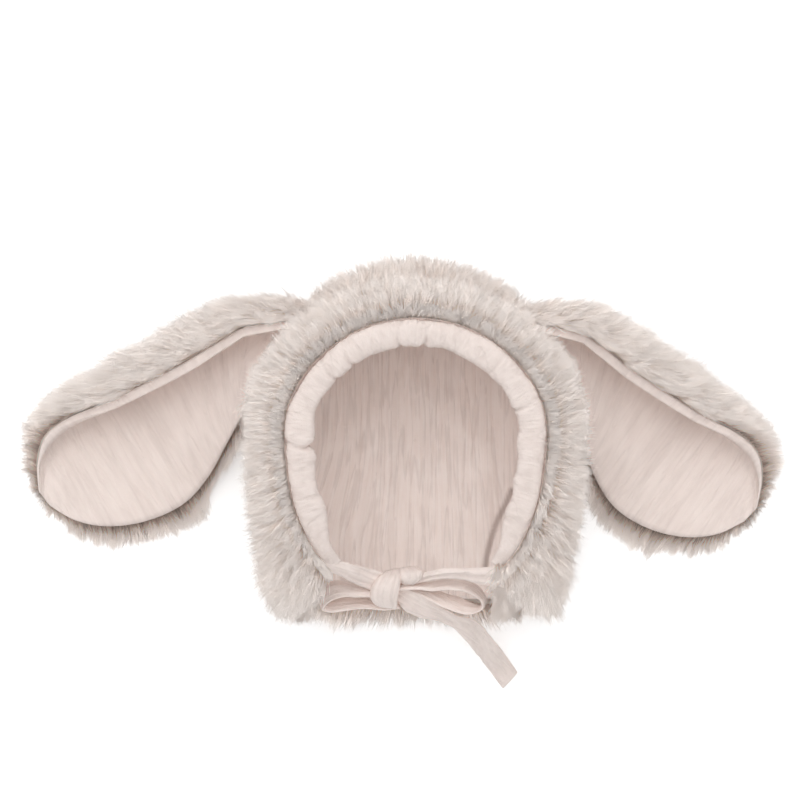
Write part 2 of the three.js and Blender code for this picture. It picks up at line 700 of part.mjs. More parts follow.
const LEFT_TIE = [
  fromCorner(-1, -3, -2, 1, -25),
  fromCorner(-1, -13, -4, -2, -20),
  fromKnot(-0.68 * KNOT_SIZE.x, 0.23 * KNOT_SIZE.y, 0.33 * KNOT_SIZE.z, -10),
  fromKnot(0, 0.14 * KNOT_SIZE.y, 0.2 * KNOT_SIZE.z, 0),
];
const RIGHT_TIE = [
  fromCorner(1, -2, -2, 2, 20),
  fromCorner(1, -15, -2, 1, 15),
  fromKnot(1.26 * KNOT_SIZE.x, 0.41 * KNOT_SIZE.y, 0.53 * KNOT_SIZE.z, 25),
  fromKnot(0.68 * KNOT_SIZE.x, 0.27 * KNOT_SIZE.y, 0.4 * KNOT_SIZE.z, 25),
  fromKnot(0, 0.18 * KNOT_SIZE.y, 0.27 * KNOT_SIZE.z, 20),
];
const RIGHT_LOOP = [
  fromKnot(0, 0, 3, 50),
  fromKnot(0.3 * LOOP_REACH, 0, 4, 50),
  fromKnot(0.75 * LOOP_REACH, 3, 3, 55),
  fromKnot(1.05 * LOOP_REACH, 0, 0, 65),
  fromKnot(1.17 * LOOP_REACH, -7, -2, 75),
  fromKnot(1.05 * LOOP_REACH, -14, -4, 50),
  fromKnot(0.75 * LOOP_REACH, -12, -3, 30),
  fromKnot(0.35 * LOOP_REACH, -6, -1, 35),
  fromKnot(0, 0, -2, 35),
];
const LEFT_LOOP = [
  fromKnot(0, 1, 0, -40),
  fromKnot(-0.35 * LOOP_REACH, 1, -1, -35),
  fromKnot(-0.75 * LOOP_REACH, 1, -2, -35),
  fromKnot(-0.96 * LOOP_REACH, -5, -4, -70),
  fromKnot(-0.75 * LOOP_REACH, -12, -8, -55),
  fromKnot(-0.35 * LOOP_REACH, -11, -8, -30),
  fromKnot(0, -8, -6, -20),
];
const TAIL_HEIGHT = TIE_THICKNESS / 2;
const LONG_TAIL = [
  fromKnot(0, -3, -4, 0),
  fromKnot(0.22 * TAIL_REACH.x, 0.12 * TAIL_REACH.y - 4, -9, 8),
  { ...fromKnot(0.5 * TAIL_REACH.x, 0.36 * TAIL_REACH.y, 0, 5), z: 0.42 * KNOT.z },
  { ...fromKnot(0.72 * TAIL_REACH.x, 0.6 * TAIL_REACH.y, 0, 0), z: 0.1 * KNOT.z },
  { ...fromKnot(0.86 * TAIL_REACH.x, 0.8 * TAIL_REACH.y, 0, 0), z: TAIL_HEIGHT },
  { ...fromKnot(TAIL_REACH.x, TAIL_REACH.y, 0, 0), z: TAIL_HEIGHT },
];
const SHORT_TAIL = [
  fromKnot(0, 0, -6, 0),
  fromKnot(-0.3 * LOOP_REACH, -2, -14, 5),
  fromKnot(-0.62 * LOOP_REACH, -3, -20, 5),
];

// Assembly: each piece gives way to the ones that it is sewn to or lies against.
const rim = faceRim();
const rimRoom = faceRim(GAP);
const DEEP = 12;
const headWalls = (outside) => [crownWall(() => outside, () => -DEEP), bandWall(outside, -DEEP, -0.1)];
const backings = headWalls(GAP + BACKING);
const backingRooms = headWalls(GAP + BACKING + GAP);
const earRooms = [LEFT_EAR, RIGHT_EAR].map((ear) => trimmed(earPile(ear, EAR_CLEARANCE), ...backings));
const ears = [LEFT_EAR, RIGHT_EAR].map((ear) => ({
  name: ear.name,
  pile: trimmed(earPile(ear), ...backingRooms),
  lining: trimmed(earLining(ear), ...backingRooms),
}));
const earLayers = ears.flatMap((ear) => [ear.pile, ear.lining]);
const knotRoom = knot(GAP);

const PLUSH = new THREE.MeshStandardMaterial({ color: 0xcdc6bf, roughness: 1, metalness: 0 });
const COTTON = new THREE.MeshStandardMaterial({ color: 0xdfd1ca, roughness: 0.95, metalness: 0 });

const bonnet = new THREE.Group();

function place(name, solid, material) {
  const { vertProperties, triVerts, numProp } = solid.getMesh();
  const positions = new THREE.BufferAttribute(vertProperties, numProp);
  const geometry = new THREE.BufferGeometry().setAttribute("position", positions);
  geometry.setIndex(new THREE.BufferAttribute(triVerts, 1));
  geometry.computeVertexNormals();
  const mesh = new THREE.Mesh(geometry, material.clone());
  mesh.name = name;
  bonnet.add(mesh);
}

place("crown_pile", trimmed(crownPile(), ...earRooms, ...earLayers), PLUSH);
place("crown_lining", crownLining(), COTTON);
place("band_pile", trimmed(bandPile(), ...earRooms, ...earLayers), PLUSH);
place("band_lining", bandLining(), COTTON);
place("face_rim", rim, COTTON);
for (const ear of ears) {
  place(ear.name + "_pile", ear.pile, PLUSH);
  place(ear.name + "_lining", ear.lining, COTTON);
}
place("bow_knot", knot(), COTTON);
place("tie_left", trimmed(tie(LEFT_TIE), knotRoom, rimRoom), COTTON);
place("tie_right", trimmed(tie(RIGHT_TIE), knotRoom, rimRoom), COTTON);
place("bow_loop_right", trimmed(tie(RIGHT_LOOP, 0, 24), knotRoom, tie(RIGHT_TIE, GAP)), COTTON);
place("bow_loop_left", trimmed(tie(LEFT_LOOP, 0, 20), knotRoom, tie(LEFT_TIE, GAP)), COTTON);
place("tie_tail_long", trimmed(tie(LONG_TAIL, 0, 16), knotRoom, tie(RIGHT_LOOP, GAP, 24)), COTTON);
place("tie_tail_short", trimmed(tie(SHORT_TAIL), knotRoom, tie(LEFT_LOOP, GAP, 20)), COTTON);

export default bonnet;
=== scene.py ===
import math

import bpy
import numpy as np
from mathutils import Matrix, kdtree


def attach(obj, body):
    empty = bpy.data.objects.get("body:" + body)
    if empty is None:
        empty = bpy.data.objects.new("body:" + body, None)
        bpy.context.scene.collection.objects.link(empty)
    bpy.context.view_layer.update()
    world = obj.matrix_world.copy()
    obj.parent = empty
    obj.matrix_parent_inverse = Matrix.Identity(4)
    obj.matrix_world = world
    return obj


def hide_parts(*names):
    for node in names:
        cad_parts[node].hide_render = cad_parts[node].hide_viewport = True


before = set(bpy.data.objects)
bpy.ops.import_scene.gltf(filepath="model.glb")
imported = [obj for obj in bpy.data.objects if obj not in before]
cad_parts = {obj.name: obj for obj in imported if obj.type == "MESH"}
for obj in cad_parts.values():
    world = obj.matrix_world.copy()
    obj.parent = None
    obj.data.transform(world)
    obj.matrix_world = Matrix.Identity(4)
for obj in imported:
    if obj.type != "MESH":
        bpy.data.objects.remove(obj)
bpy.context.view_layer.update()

MM = 0.001

# Camera: straight above, the top of the head at the top of the picture
SCALE = 0.58  # mm of the floor that one pixel of the picture covers
PICTURE = 800
MIDDLE_PIXEL = PICTURE // 2
CAMERA_HEIGHT = 1300.0
SENSOR_WIDTH = 36.0
AIM = (-8.4, 23.2)
# The middle of the picture for what is placed by the pixel it shows at, read off a render
READ_MIDDLE = (-8.41, 23.2)


def pixel_size(z):
    """Millimetres that a pixel of the picture covers at a height."""
    return SCALE * (CAMERA_HEIGHT - z) / CAMERA_HEIGHT


def seen(px, py, z, middle=AIM):
    """The place at height z that shows at a pixel of the picture."""
    size = pixel_size(z)
    return (middle[0] + (px - MIDDLE_PIXEL) * size, middle[1] - (py - MIDDLE_PIXEL) * size, z)


def make_camera():
    data = bpy.data.cameras.new("camera")
    data.sensor_width = SENSOR_WIDTH
    data.lens = SENSOR_WIDTH * CAMERA_HEIGHT / (SCALE * PICTURE)
    data.clip_end = 20.0
    camera = bpy.data.objects.new("camera", data)
    camera.location = (AIM[0] * MM, AIM[1] * MM, CAMERA_HEIGHT * MM)
    bpy.context.scene.collection.objects.link(camera)
    bpy.context.scene.camera = camera


make_camera()

# Sizes of the cloth, as in the frame
GAUZE = 1.6
BACKING = 1.9
PILE = 11.0
PILE_PRESSED = 6.5
GAP = 0.4
CROWN_HALF_WIDTH = 76.0
CROWN_RISE = 70.0
NAPE_DROP = 91.0
SEAM_HEIGHT = 60.0
OPENING_HALF_WIDTH = 70.0
OPENING_RISE = 67.0
FLAP_DROP = 69.0
FRONT_HEIGHT = 98.0
BAND_BULGE = 4.0
FLAP_TURN = 0.78
SEAM_GAP = 0.012
RIM_WIDTH = 13.5
RIM_THICKNESS = 8.0
EAR_WIDTH = 73.0
EAR_ROOT = (0.12, 0.3)
LEFT_EAR = {"name": "ear_left", "side": -1, "length": 190.0, "droop": 32.5}
RIGHT_EAR = {"name": "ear_right", "side": 1, "length": 178.0, "droop": 38.5}
EAR_HEM_RISE = 4.0
EAR_HEM_WIDTH = 0.07
TIE_THICKNESS = 2.2
CLOTH_REST = PILE_PRESSED + BACKING + GAP
UP = np.array([0.0, 0.0, 1.0])

# turn, across, up, height, flat, bulge, climb
CROWN_EDGE = np.array([
    (0.0, 0.0, 1.0, 1.0, 0.9, 1.72, 0.28),
    (0.13, 0.42, 0.94, 1.0, 0.9, 1.56, 0.28),
    (0.26, 0.78, 0.74, 1.0, 0.86, 1.2, 0.28),
    (0.39, 0.96, 0.39, 0.98, 0.82, 1.08, 0.3),
    (0.5, 1.0, 0.0, 0.95, 0.78, 1.06, 0.32),
    (0.62, 1.0, -0.4, 0.88, 0.76, 1.06, 0.32),
    (0.72, 0.98, -0.72, 0.8, 0.74, 1.04, 0.3),
    (0.78, 0.92, -0.88, 0.7, 0.72, 1.02, 0.25),
    (0.86, 0.66, -0.98, 0.3, 0.66, 0.98, 0.1),
    (0.93, 0.33, -1.0, 0.1, 0.6, 0.9, 0.05),
    (1.0, 0.0, -1.0, 0.06, 0.55, 0.85, 0.0),
])
# along, across, up, height
FRONT_EDGE = np.array([
    (0.0, 0.0, 1.0, 1.0),
    (0.16, 0.42, 0.91, 1.0),
    (0.32, 0.77, 0.65, 1.0),
    (0.48, 0.97, 0.31, 0.995),
    (0.64, 1.0, -0.05, 0.985),
    (0.8, 0.94, -0.47, 0.95),
    (0.92, 0.81, -0.8, 0.89),
    (1.0, 0.67, -1.0, 0.84),
])
# out, low along, low, fold along, fold, curl, radius, lift
EAR_SHAPE = np.array([
    (0.0, 0.0, 0.0, 0.0, 0.0, 90, 0.12, 1.0),
    (0.12, 0.25, -0.02, 0.12, 0.4, 160, 0.17, 0.74),
    (0.24, 0.34, -0.14, 0.24, 0.51, 180, 0.18, 0.46),
    (0.36, 0.43, -0.26, 0.38, 0.55, 186, 0.18, 0.24),
    (0.48, 0.535, -0.4, 0.535, 0.59, 186, 0.18, 0.1),
    (0.6, 0.64, -0.47, 0.66, 0.61, 180, 0.175, 0.03),
    (0.72, 0.76, -0.43, 0.775, 0.6, 155, 0.16, 0.0),
    (0.84, 0.87, -0.3, 0.875, 0.53, 120, 0.14, 0.0),
    (0.94, 0.945, -0.12, 0.945, 0.41, 80, 0.11, 0.0),
    (1.0, 0.985, 0.08, 0.99, 0.25, 50, 0.09, 0.0),
])


# Arithmetic on whole arrays
def smoothstep(x, lo, hi):
    t = np.clip((np.asarray(x, float) - lo) / (hi - lo), 0, 1)
    return t * t * (3 - 2 * t)


def lerp(a, b, t):
    return a + (b - a) * t


def unit(v):
    return v / np.maximum(np.linalg.norm(v, axis=-1, keepdims=True), 1e-12)


def dot(a, b):
    return (a * b).sum(-1, keepdims=True)


def column(rows, col, place, odd=False, open_end=False):
    """A table's column between its rows, on a smooth curve, mirrored past its first row and a closed end."""
    key = rows[:, 0]
    val = rows[:, col]
    sign = -1.0 if odd else 1.0
    place = np.asarray(place, float)
    i = np.clip(np.searchsorted(key, place, side="left"), 1, len(key) - 1)
    k0, k1, v0, v1 = key[i - 1], key[i], val[i - 1], val[i]
    first = i == 1
    kb = np.where(first, 2 * k0 - k1, key[np.maximum(i - 2, 0)])
    vb = np.where(first, sign * v1, val[np.maximum(i - 2, 0)])
    final = i == len(key) - 1
    ka = np.where(final, 2 * k1 - k0, key[np.minimum(i + 1, len(key) - 1)])
    va = np.where(final, 2 * v1 - v0 if open_end else sign * v0, val[np.minimum(i + 1, len(key) - 1)])
    span = k1 - k0
    m0 = (v1 - vb) / (k1 - kb) * span
    m1 = (va - v0) / (ka - k0) * span
    t = np.clip((place - k0) / span, 0, 1)
    start = (2 * t**3 - 3 * t**2 + 1) * v0 + (t**3 - 2 * t**2 + t) * m0
    return start + (3 * t**2 - 2 * t**3) * v1 + (t**3 - t**2) * m1


def scrambled(ix, iy, iz, seed):
    n = ix.astype(np.int64) * 374761393 + iy.astype(np.int64) * 668265263
    n = n + iz.astype(np.int64) * 2147483647 + seed * 974634777
    n = (n ^ (n >> 13)) * 1274126177
    n = n ^ (n >> 16)
    return (n & 0xFFFFFF) / float(0xFFFFFF) * 2 - 1


def noise(x, y, z=0.0, seed=0):
    """Smooth noise from -1 to 1."""
    x, y, z = np.broadcast_arrays(np.asarray(x, float), np.asarray(y, float), np.asarray(z, float))
    ix, iy, iz = np.floor(x), np.floor(y), np.floor(z)
    fx, fy, fz = x - ix, y - iy, z - iz
    ux, uy, uz = (f * f * f * (f * (f * 6 - 15) + 10) for f in (fx, fy, fz))
    total = 0.0
    for dx in (0, 1):
        for dy in (0, 1):
            for dz in (0, 1):
                w = (ux if dx else 1 - ux) * (uy if dy else 1 - uy) * (uz if dz else 1 - uz)
                total = total + w * scrambled(ix + dx, iy + dy, iz + dz, seed)
    return total


def hump(distance, width):
    return np.exp(-(distance / width)**2)


def squared(wave, power):
    """A sine or cosine flattened towards a square wave, the more the smaller the power."""
    return np.sign(wave) * np.abs(wave)**power


def run_along(points):
    """Distance of each point of a line from its first, along the line."""
    return np.concatenate([[0], np.cumsum(np.linalg.norm(np.diff(points, axis=0), axis=-1))])


def noise_at(place, size, seed):
    return noise(*np.moveaxis(place / size, -1, 0), seed)


def layered(x, y, z=0.0, seed=0, octaves=3):
    total, weight, size = 0.0, 0.0, 1.0
    for k in range(octaves):
        total = total + noise(x * 2**k, y * 2**k, np.asarray(z) * 2**k, seed + k) * size
        weight += size
        size *= 0.5
    return total / weight


# Surfaces of the frame
def crown_edge(turn):
    turn = np.asarray(turn, float)
    turn = np.where(turn > 1, turn - 2, np.where(turn < -1, turn + 2, turn))
    half = np.abs(turn)
    up = column(CROWN_EDGE, 2, half)
    point = np.stack([
        np.sign(turn) * CROWN_HALF_WIDTH * column(CROWN_EDGE, 1, half, odd=True),
        up * np.where(up > 0, CROWN_RISE, NAPE_DROP),
        lerp(CLOTH_REST, SEAM_HEIGHT, column(CROWN_EDGE, 3, half)),
    ], -1)
    return point, column(CROWN_EDGE, 4, half), column(CROWN_EDGE, 5, half), column(CROWN_EDGE, 6, half)


def crown_cloth(turn, reach):
    turn, reach = np.broadcast_arrays(np.asarray(turn, float), np.asarray(reach, float))
    edge, flat, bulge, climb = crown_edge(turn)
    rest = np.zeros_like(edge)
    rest[..., 2] = CLOTH_REST

    def control(share, height):
        rise = lerp(CLOTH_REST, edge[..., 2], height)
        return np.stack([edge[..., 0] * share, edge[..., 1] * share, rise], -1)

    t = reach[..., None]
    c1, c2 = control(flat, 0.0), control(bulge, climb)
    return rest * (1 - t)**3 + c1 * 3 * (1 - t)**2 * t + c2 * 3 * (1 - t) * t**2 + edge * t**3


def facing(surface, u, v, outside, lo=0.0):
    h = 0.004
    across = surface(u + h, v) - surface(u - h, v)
    down = surface(u, np.minimum(1, v + h)) - surface(u, np.maximum(lo, v - h))
    n = unit(np.cross(across, down))
    return np.where(dot(n, outside) < 0, -n, n)


def crown_facing(turn, reach):
    safe = np.maximum(reach, 0.03)
    return facing(crown_cloth, turn, safe, crown_cloth(turn, safe) - np.array([0, 0, SEAM_HEIGHT]))


def neck_share(turn):
    return smoothstep(np.abs(turn), FLAP_TURN - 0.02, FLAP_TURN + 0.06)


def seam_facing(turn):
    return unit(crown_facing(turn, np.ones_like(turn)) + band_facing(turn / FLAP_TURN, np.zeros_like(turn)))


def edge_facing(turn):
    by_band = seam_facing(np.clip(turn, -FLAP_TURN, FLAP_TURN))
    return lerp(by_band, crown_facing(turn, np.ones_like(turn)), neck_share(turn)[..., None])


def crown_out(turn, reach):
    """The crown cloth's facing, on its edge the one that it shares with its neighbours."""
    return np.where((reach > 0.999)[..., None], edge_facing(turn), crown_facing(turn, reach))


def front_edge(share):
    share = np.asarray(share, float)
    half = np.abs(share)
    up = column(FRONT_EDGE, 2, half, open_end=True)
    return np.stack([
        np.sign(share) * OPENING_HALF_WIDTH * column(FRONT_EDGE, 1, half, odd=True, open_end=True),
        up * np.where(up > 0, OPENING_RISE, FLAP_DROP),
        FRONT_HEIGHT * column(FRONT_EDGE, 3, half, open_end=True),
    ], -1)


def band_cloth(share, reach):
    share, reach = np.broadcast_arrays(np.asarray(share, float), np.asarray(reach, float))
    held = np.clip(share, -1, 1)
    seam = crown_edge(held * FLAP_TURN)[0]
    front = front_edge(held)
    tangent = front_edge(np.minimum(1, held + 0.01)) - front_edge(np.maximum(-1, held - 0.01))
    out = unit(np.cross(tangent, front - seam))
    flat = seam.copy()
    flat[..., 2] = 0
    out = np.where(dot(out, flat) < 0, -out, out)
    r = reach[..., None]
    return lerp(seam, front, r) + out * BAND_BULGE * np.sin(np.pi * r)


def band_facing(share, reach):
    place = band_cloth(share, reach)
    place[..., 2] = 0
    return facing(band_cloth, np.clip(share, -0.99, 0.99), reach, place)


def band_out(share, reach):
    """The band cloth's facing, on its seam the one that it shares with the crown."""
    by_seam = (reach <= SEAM_GAP + 1e-6)[..., None]
    return np.where(by_seam, seam_facing(share * FLAP_TURN), band_facing(share, reach))


def ear_sheet(ear, out, over):
    out, over = np.broadcast_arrays(np.asarray(out, float), np.asarray(over, float))
    side_sign = ear["side"]

    def root(turn):
        t = np.array([side_sign * turn])
        return (crown_edge(t)[0] + seam_facing(t) * (BACKING + 2 * GAP))[0]

    upper, lower = root(EAR_ROOT[0]), root(EAR_ROOT[1])
    middle = 0.5 * (upper + lower)
    angle = math.radians(ear["droop"])
    axis = np.array([side_sign * math.cos(angle), -math.sin(angle), 0.0])
    above = np.array([side_sign * math.sin(angle), math.cos(angle), 0.0])

    def read(col):
        return column(EAR_SHAPE, col, out, open_end=True)

    rise = lerp(CLOTH_REST, middle[2], read(7))

    def local(share, across):
        p = middle + axis * (share * ear["length"])[..., None] + above * (across * EAR_WIDTH)[..., None]
        p[..., 2] = rise
        return p

    from_root = np.clip(1 - out / 0.17, 0, 1)[..., None]
    low = lerp(local(read(1), read(2)), lower, from_root)
    fold = lerp(local(read(3), read(4)), upper, from_root)
    side = unit(fold - low)
    radius = (read(6) * EAR_WIDTH)[..., None]
    bend = fold - side * radius
    flat = np.clip(over / 0.5, 0, 1)[..., None]
    turn = (np.radians(read(5)) * np.clip((over - 0.5) / 0.5, 0, 1))[..., None]
    point = lerp(low, bend, flat) + side * radius * np.sin(turn) + UP * radius * (1 - np.cos(turn))
    under = side * np.sin(turn) - UP * np.cos(turn)
    onward = side * np.cos(turn) + UP * np.sin(turn)
    return point, under, onward, axis


# Meshes
def to_object(name, points, faces, uv=None):
    """Points are in mm. faces is an (n, 3) or (n, 4) array, or a list of such. uv is one pair a point."""
    groups = faces if isinstance(faces, list) else [faces]
    mesh = bpy.data.meshes.new(name)
    loops = np.concatenate([g.ravel() for g in groups]).astype(np.int32)
    totals = np.concatenate([np.full(len(g), g.shape[1]) for g in groups]).astype(np.int32)
    starts = np.concatenate([[0], np.cumsum(totals)[:-1]]).astype(np.int32)
    mesh.vertices.add(len(points))
    mesh.vertices.foreach_set("co", (np.asarray(points, float) * MM).astype(np.float32).ravel())
    mesh.loops.add(len(loops))
    mesh.loops.foreach_set("vertex_index", loops)
    mesh.polygons.add(len(totals))
    mesh.polygons.foreach_set("loop_start", starts)
    mesh.polygons.foreach_set("loop_total", totals)
    mesh.polygons.foreach_set("use_smooth", np.full(len(totals), True))
    if uv is not None:
        layer = mesh.uv_layers.new(name="UVMap")
        layer.data.foreach_set("uv", np.asarray(uv, np.float32)[loops].ravel())
    mesh.update(calc_edges=True)
    mesh.validate()
    obj = bpy.data.objects.new(name, mesh)
    bpy.context.scene.collection.objects.link(obj)
    return obj


def grid_faces(rows, cols, wrap=False, offset=0):
    r = np.arange(rows - 1)[:, None]
    c = np.arange(cols if wrap else cols - 1)[None, :]
    a = r * cols + c
    b = r * cols + (c + 1) % cols
    return np.stack([a, b, b + cols, a + cols], -1).reshape(-1, 4) + offset


def border(grid, wrap):
    """The closed loops round a grid of point numbers: one, or two where the grid joins up with itself."""
    if wrap:
        return [np.append(grid[0], grid[0, 0]), np.append(grid[-1], grid[-1, 0])[::-1]]
    edge = np.concatenate([grid[0, :-1], grid[:-1, -1], grid[-1, :0:-1], grid[:0:-1, 0]])
    return [np.append(edge, edge[0])]


def shell(name, seen, hidden, uv, cavity, wrap=False, coarse=1):
    """A closed wall between two grids of points. The hidden grid keeps only every coarse-th point."""
    rows, cols = seen.shape[:2]
    n = rows * cols
    index = np.arange(n).reshape(rows, cols)
    kept = hidden[::coarse, ::coarse]
    back_index = np.arange(kept.shape[0] * kept.shape[1]).reshape(kept.shape[:2]) + n
    front = grid_faces(rows, cols, wrap)
    back = grid_faces(*kept.shape[:2], wrap, n)[:, ::-1]

    sides = []
    for fine, rough in zip(border(index, wrap), border(back_index, wrap)):
        for q in range(len(fine) - 1):
            m = q // coarse
            at = m + (1 if q % coarse >= (coarse + 1) // 2 else 0)
            sides.append((fine[q + 1], fine[q], rough[at]))
            if q % coarse == (coarse + 1) // 2 - 1 or coarse == 1:
                sides.append((rough[m], rough[m + 1], fine[q + 1]))
    points = np.concatenate([seen.reshape(-1, 3), kept.reshape(-1, 3)])
    uvs = np.concatenate([uv.reshape(-1, 2), uv[::coarse, ::coarse].reshape(-1, 2)])
    obj = to_object(name, points, [np.concatenate([front, back]), np.array(sides)], uvs)
    paint_cavity(obj, np.concatenate([cavity.ravel(), np.ones(len(points) - n)]))
    return obj


def paint_cavity(obj, share):
    """How open each place of a cloth is, from 0 in the bottom of a crease to 1; the gauze is darkened by it as
    painted shade.
    """
    layer = obj.data.attributes.new("open", "FLOAT", "POINT")
    layer.data.foreach_set("value", np.asarray(share, np.float32))


def finish_piece(obj, slot, material, *nodes):
    obj.data.materials.append(material)
    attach(obj, "root")
    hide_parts(*nodes)
    return obj


# Materials
def clear_tree(owner):
    """The node tree of a material or a world, with nothing in it yet."""
    owner.use_nodes = True
    owner.node_tree.nodes.clear()
    return owner.node_tree


def grow(tree, kind, inputs=None, **settings):
    """Adds a node and returns its outputs. Each input is given a value, or an output to be linked from."""
    node = tree.nodes.new("ShaderNode" + kind)
    for key, value in settings.items():
        setattr(node, key, value)
    for key, value in (inputs or {}).items():
        if isinstance(value, bpy.types.NodeSocket):
            tree.links.new(value, node.inputs[key])
        else:
            node.inputs[key].default_value = value
    return node.outputs


def reckon(tree, operation, *values, clamp=False):
    return grow(tree, "Math", dict(enumerate(values)), operation=operation, use_clamp=clamp)[0]


def remap(tree, value, clamp=True, **limits):
    """A value taken from one range to another. The limits are from_min, from_max, to_min and to_max."""
    named = {key.replace("_", " ").title(): limit for key, limit in limits.items()}
    return grow(tree, "MapRange", {"Value": value, **named}, clamp=clamp)["Result"]


def ramp(tree, share, stops):
    node = tree.nodes.new("ShaderNodeValToRGB")
    tree.links.new(share, node.inputs["Fac"])
    elements = node.color_ramp.elements
    while len(elements) < len(stops):
        elements.new(0.5)
    for element, (position, colour) in zip(elements, stops):
        element.position = position
        element.color = (*colour, 1)
    return node.outputs["Color"]


def srgb(r, g, b):
    return tuple(((v / 255 + 0.055) / 1.055)**2.4 if v > 10 else v / 255 / 12.92 for v in (r, g, b))


# Colour of the painted shade in the creases and folds of the gauze
CREASE_SHADE_COLOUR = srgb(128, 100, 91)


def make_gauze(name, light, dark, crinkle, strength, cavity, crease, drawn):
    """Double gauze: fine plain weave, long crinkles across the cloth, a soft change of tone, and painted shade
    in its creases and folds.
    """
    material = bpy.data.materials.new(name)
    tree = clear_tree(material)
    uv = grow(tree, "UVMap", uv_map="UVMap")["UV"]

    def patches(scale, detail, stretch=None, **more):
        place = uv
        if stretch:
            place = grow(tree, "Mapping", {"Vector": uv, "Scale": (*stretch, 1.0)})["Vector"]
        return grow(tree, "TexNoise", {"Vector": place, "Scale": scale, "Detail": detail, **more})["Fac"]

    def threads(direction):
        inputs = {"Vector": uv, "Scale": 420.0, "Distortion": 1.2, "Detail": 1.0}
        return grow(tree, "TexWave", inputs, bands_direction=direction)["Fac"]

    weave = reckon(tree, "MULTIPLY", threads("X"), threads("Y"))
    lines = patches(1.0, 4.0, (crinkle[1], crinkle[0]), Roughness=0.6, Distortion=0.4)
    tone = reckon(tree, "MULTIPLY_ADD", lines, 0.6, reckon(tree, "MULTIPLY", patches(45.0, 3.0), 0.4))
    colour = ramp(tree, tone, ((0.3, dark), (0.7, light)))

    # Thin drawn creases, where a stretched noise crosses its middle, broken up by a second noise: a bump and a
    # line of painted shade
    wander = patches(1.0, 2.0, crease, Distortion=0.25)
    off = reckon(tree, "ABSOLUTE", reckon(tree, "SUBTRACT", wander, 0.5))
    reach = remap(tree, patches(60.0, 2.0), from_min=0.38, from_max=0.62, to_min=0.01, to_max=0.1)
    line = reckon(tree, "DIVIDE", off, reach, clamp=True)

    # Painted shade: darker where a crease is drawn, and in the folds of the mesh, which may lie below 0
    opened = grow(tree, "Attribute", attribute_name="open")["Fac"]
    # cavity and drawn set how dark the painted shade gets in the folds and in the drawn creases
    lit = reckon(tree, "MULTIPLY", remap(tree, opened, False, to_min=cavity), remap(tree, line, to_min=drawn))
    shaded = grow(tree, "MixRGB", {"Fac": lit, "Color1": (*CREASE_SHADE_COLOUR, 1), "Color2": colour})["Color"]
    normal = {}
    for height, amount, depth in (
            (weave, 0.35, 0.0002), (lines, strength, 0.0012), (line, 0.4 * strength, 0.0008)):
        bump = {"Height": height, "Strength": amount, "Distance": depth, **normal}
        normal = {"Normal": grow(tree, "Bump", bump)["Normal"]}
    cloth = grow(tree, "BsdfPrincipled", {
        "Base Color": shaded, "Roughness": 0.95, "Sheen Weight": 0.12, "Sheen Roughness": 0.6,
        "Specular IOR Level": 0.15, **normal})["BSDF"]
    glow = grow(tree, "BsdfTranslucent", {"Color": shaded})["BSDF"]
    mix = grow(tree, "MixShader", {"Fac": 0.08, 1: cloth, 2: glow})["Shader"]
    grow(tree, "OutputMaterial", {"Surface": mix})
    return material


def make_pile(name, root, middle, tip):
    """Hair colour from root to tip along the strand map's first axis, darker at the root as painted shade deep
    in the pile, and each hair's tone on the second.
    """
    material = bpy.data.materials.new(name)
    tree = clear_tree(material)
    split = grow(tree, "SeparateXYZ", {"Vector": grow(tree, "UVMap", uv_map="UVMap")["UV"]})
    along = ramp(tree, split["X"], ((0.0, root), (0.5, middle), (1.0, tip)))
    tone = remap(tree, split["Y"], to_min=0.52, to_max=1.2)
    colour = grow(tree, "VectorMath", {0: along, "Scale": tone}, operation="SCALE")["Vector"]

    # Light on either side of a hair leaves it the way the pile faces, as it does among many pale hairs
    facing_out = grow(tree, "Attribute", attribute_name="pile_facing")["Vector"]
    turned = grow(
        tree, "VectorTransform", {"Vector": facing_out},
        vector_type="NORMAL", convert_from="OBJECT", convert_to="WORLD")["Vector"]
    other = grow(tree, "VectorMath", {0: turned, "Scale": -1.0}, operation="SCALE")["Vector"]
    hair = grow(tree, "BsdfPrincipled", {
        "Base Color": colour, "Roughness": 0.7, "Specular IOR Level": 0.1, "Normal": turned})["BSDF"]
    glow = grow(tree, "BsdfTranslucent", {"Color": colour, "Normal": other})["BSDF"]
    both = grow(tree, "AddShader", {0: hair, 1: glow})["Shader"]

    # Part of the scattered light goes on through a hair to those behind it
    through = reckon(tree, "MULTIPLY", grow(tree, "LightPath")["Is Diffuse Ray"], 0.84)
    clear = grow(tree, "BsdfTransparent")["BSDF"]
    passed = grow(tree, "MixShader", {"Fac": through, 1: both, 2: clear})["Shader"]
    grow(tree, "OutputMaterial", {"Surface": passed})
    return material


GAUZE_LINING = make_gauze(
    "gauze_lining", srgb(255, 246, 241), srgb(244, 230, 223), (30.0, 620.0), 0.7, 0.86, (210.0, 14.0), 0.86)
GAUZE_EAR = make_gauze(
    "gauze_ear", srgb(248, 235, 228), srgb(238, 223, 216), (60.0, 480.0), 0.6, 0.8, (150.0, 20.0), 0.94)
GAUZE_RIM = make_gauze(
    "gauze_rim", srgb(246, 234, 228), srgb(236, 222, 215), (260.0, 520.0), 0.7, 0.7, (60.0, 40.0), 0.93)
GAUZE_TIE = make_gauze(
    "gauze_tie", srgb(248, 236, 230), srgb(239, 225, 218), (520.0, 160.0), 0.8, 0.78, (20.0, 200.0), 0.93)
# The darker root colour is painted shade deep in the pile
PLUSH = make_pile("plush", srgb(168, 151, 140), srgb(219, 205, 196), srgb(250, 243, 238))


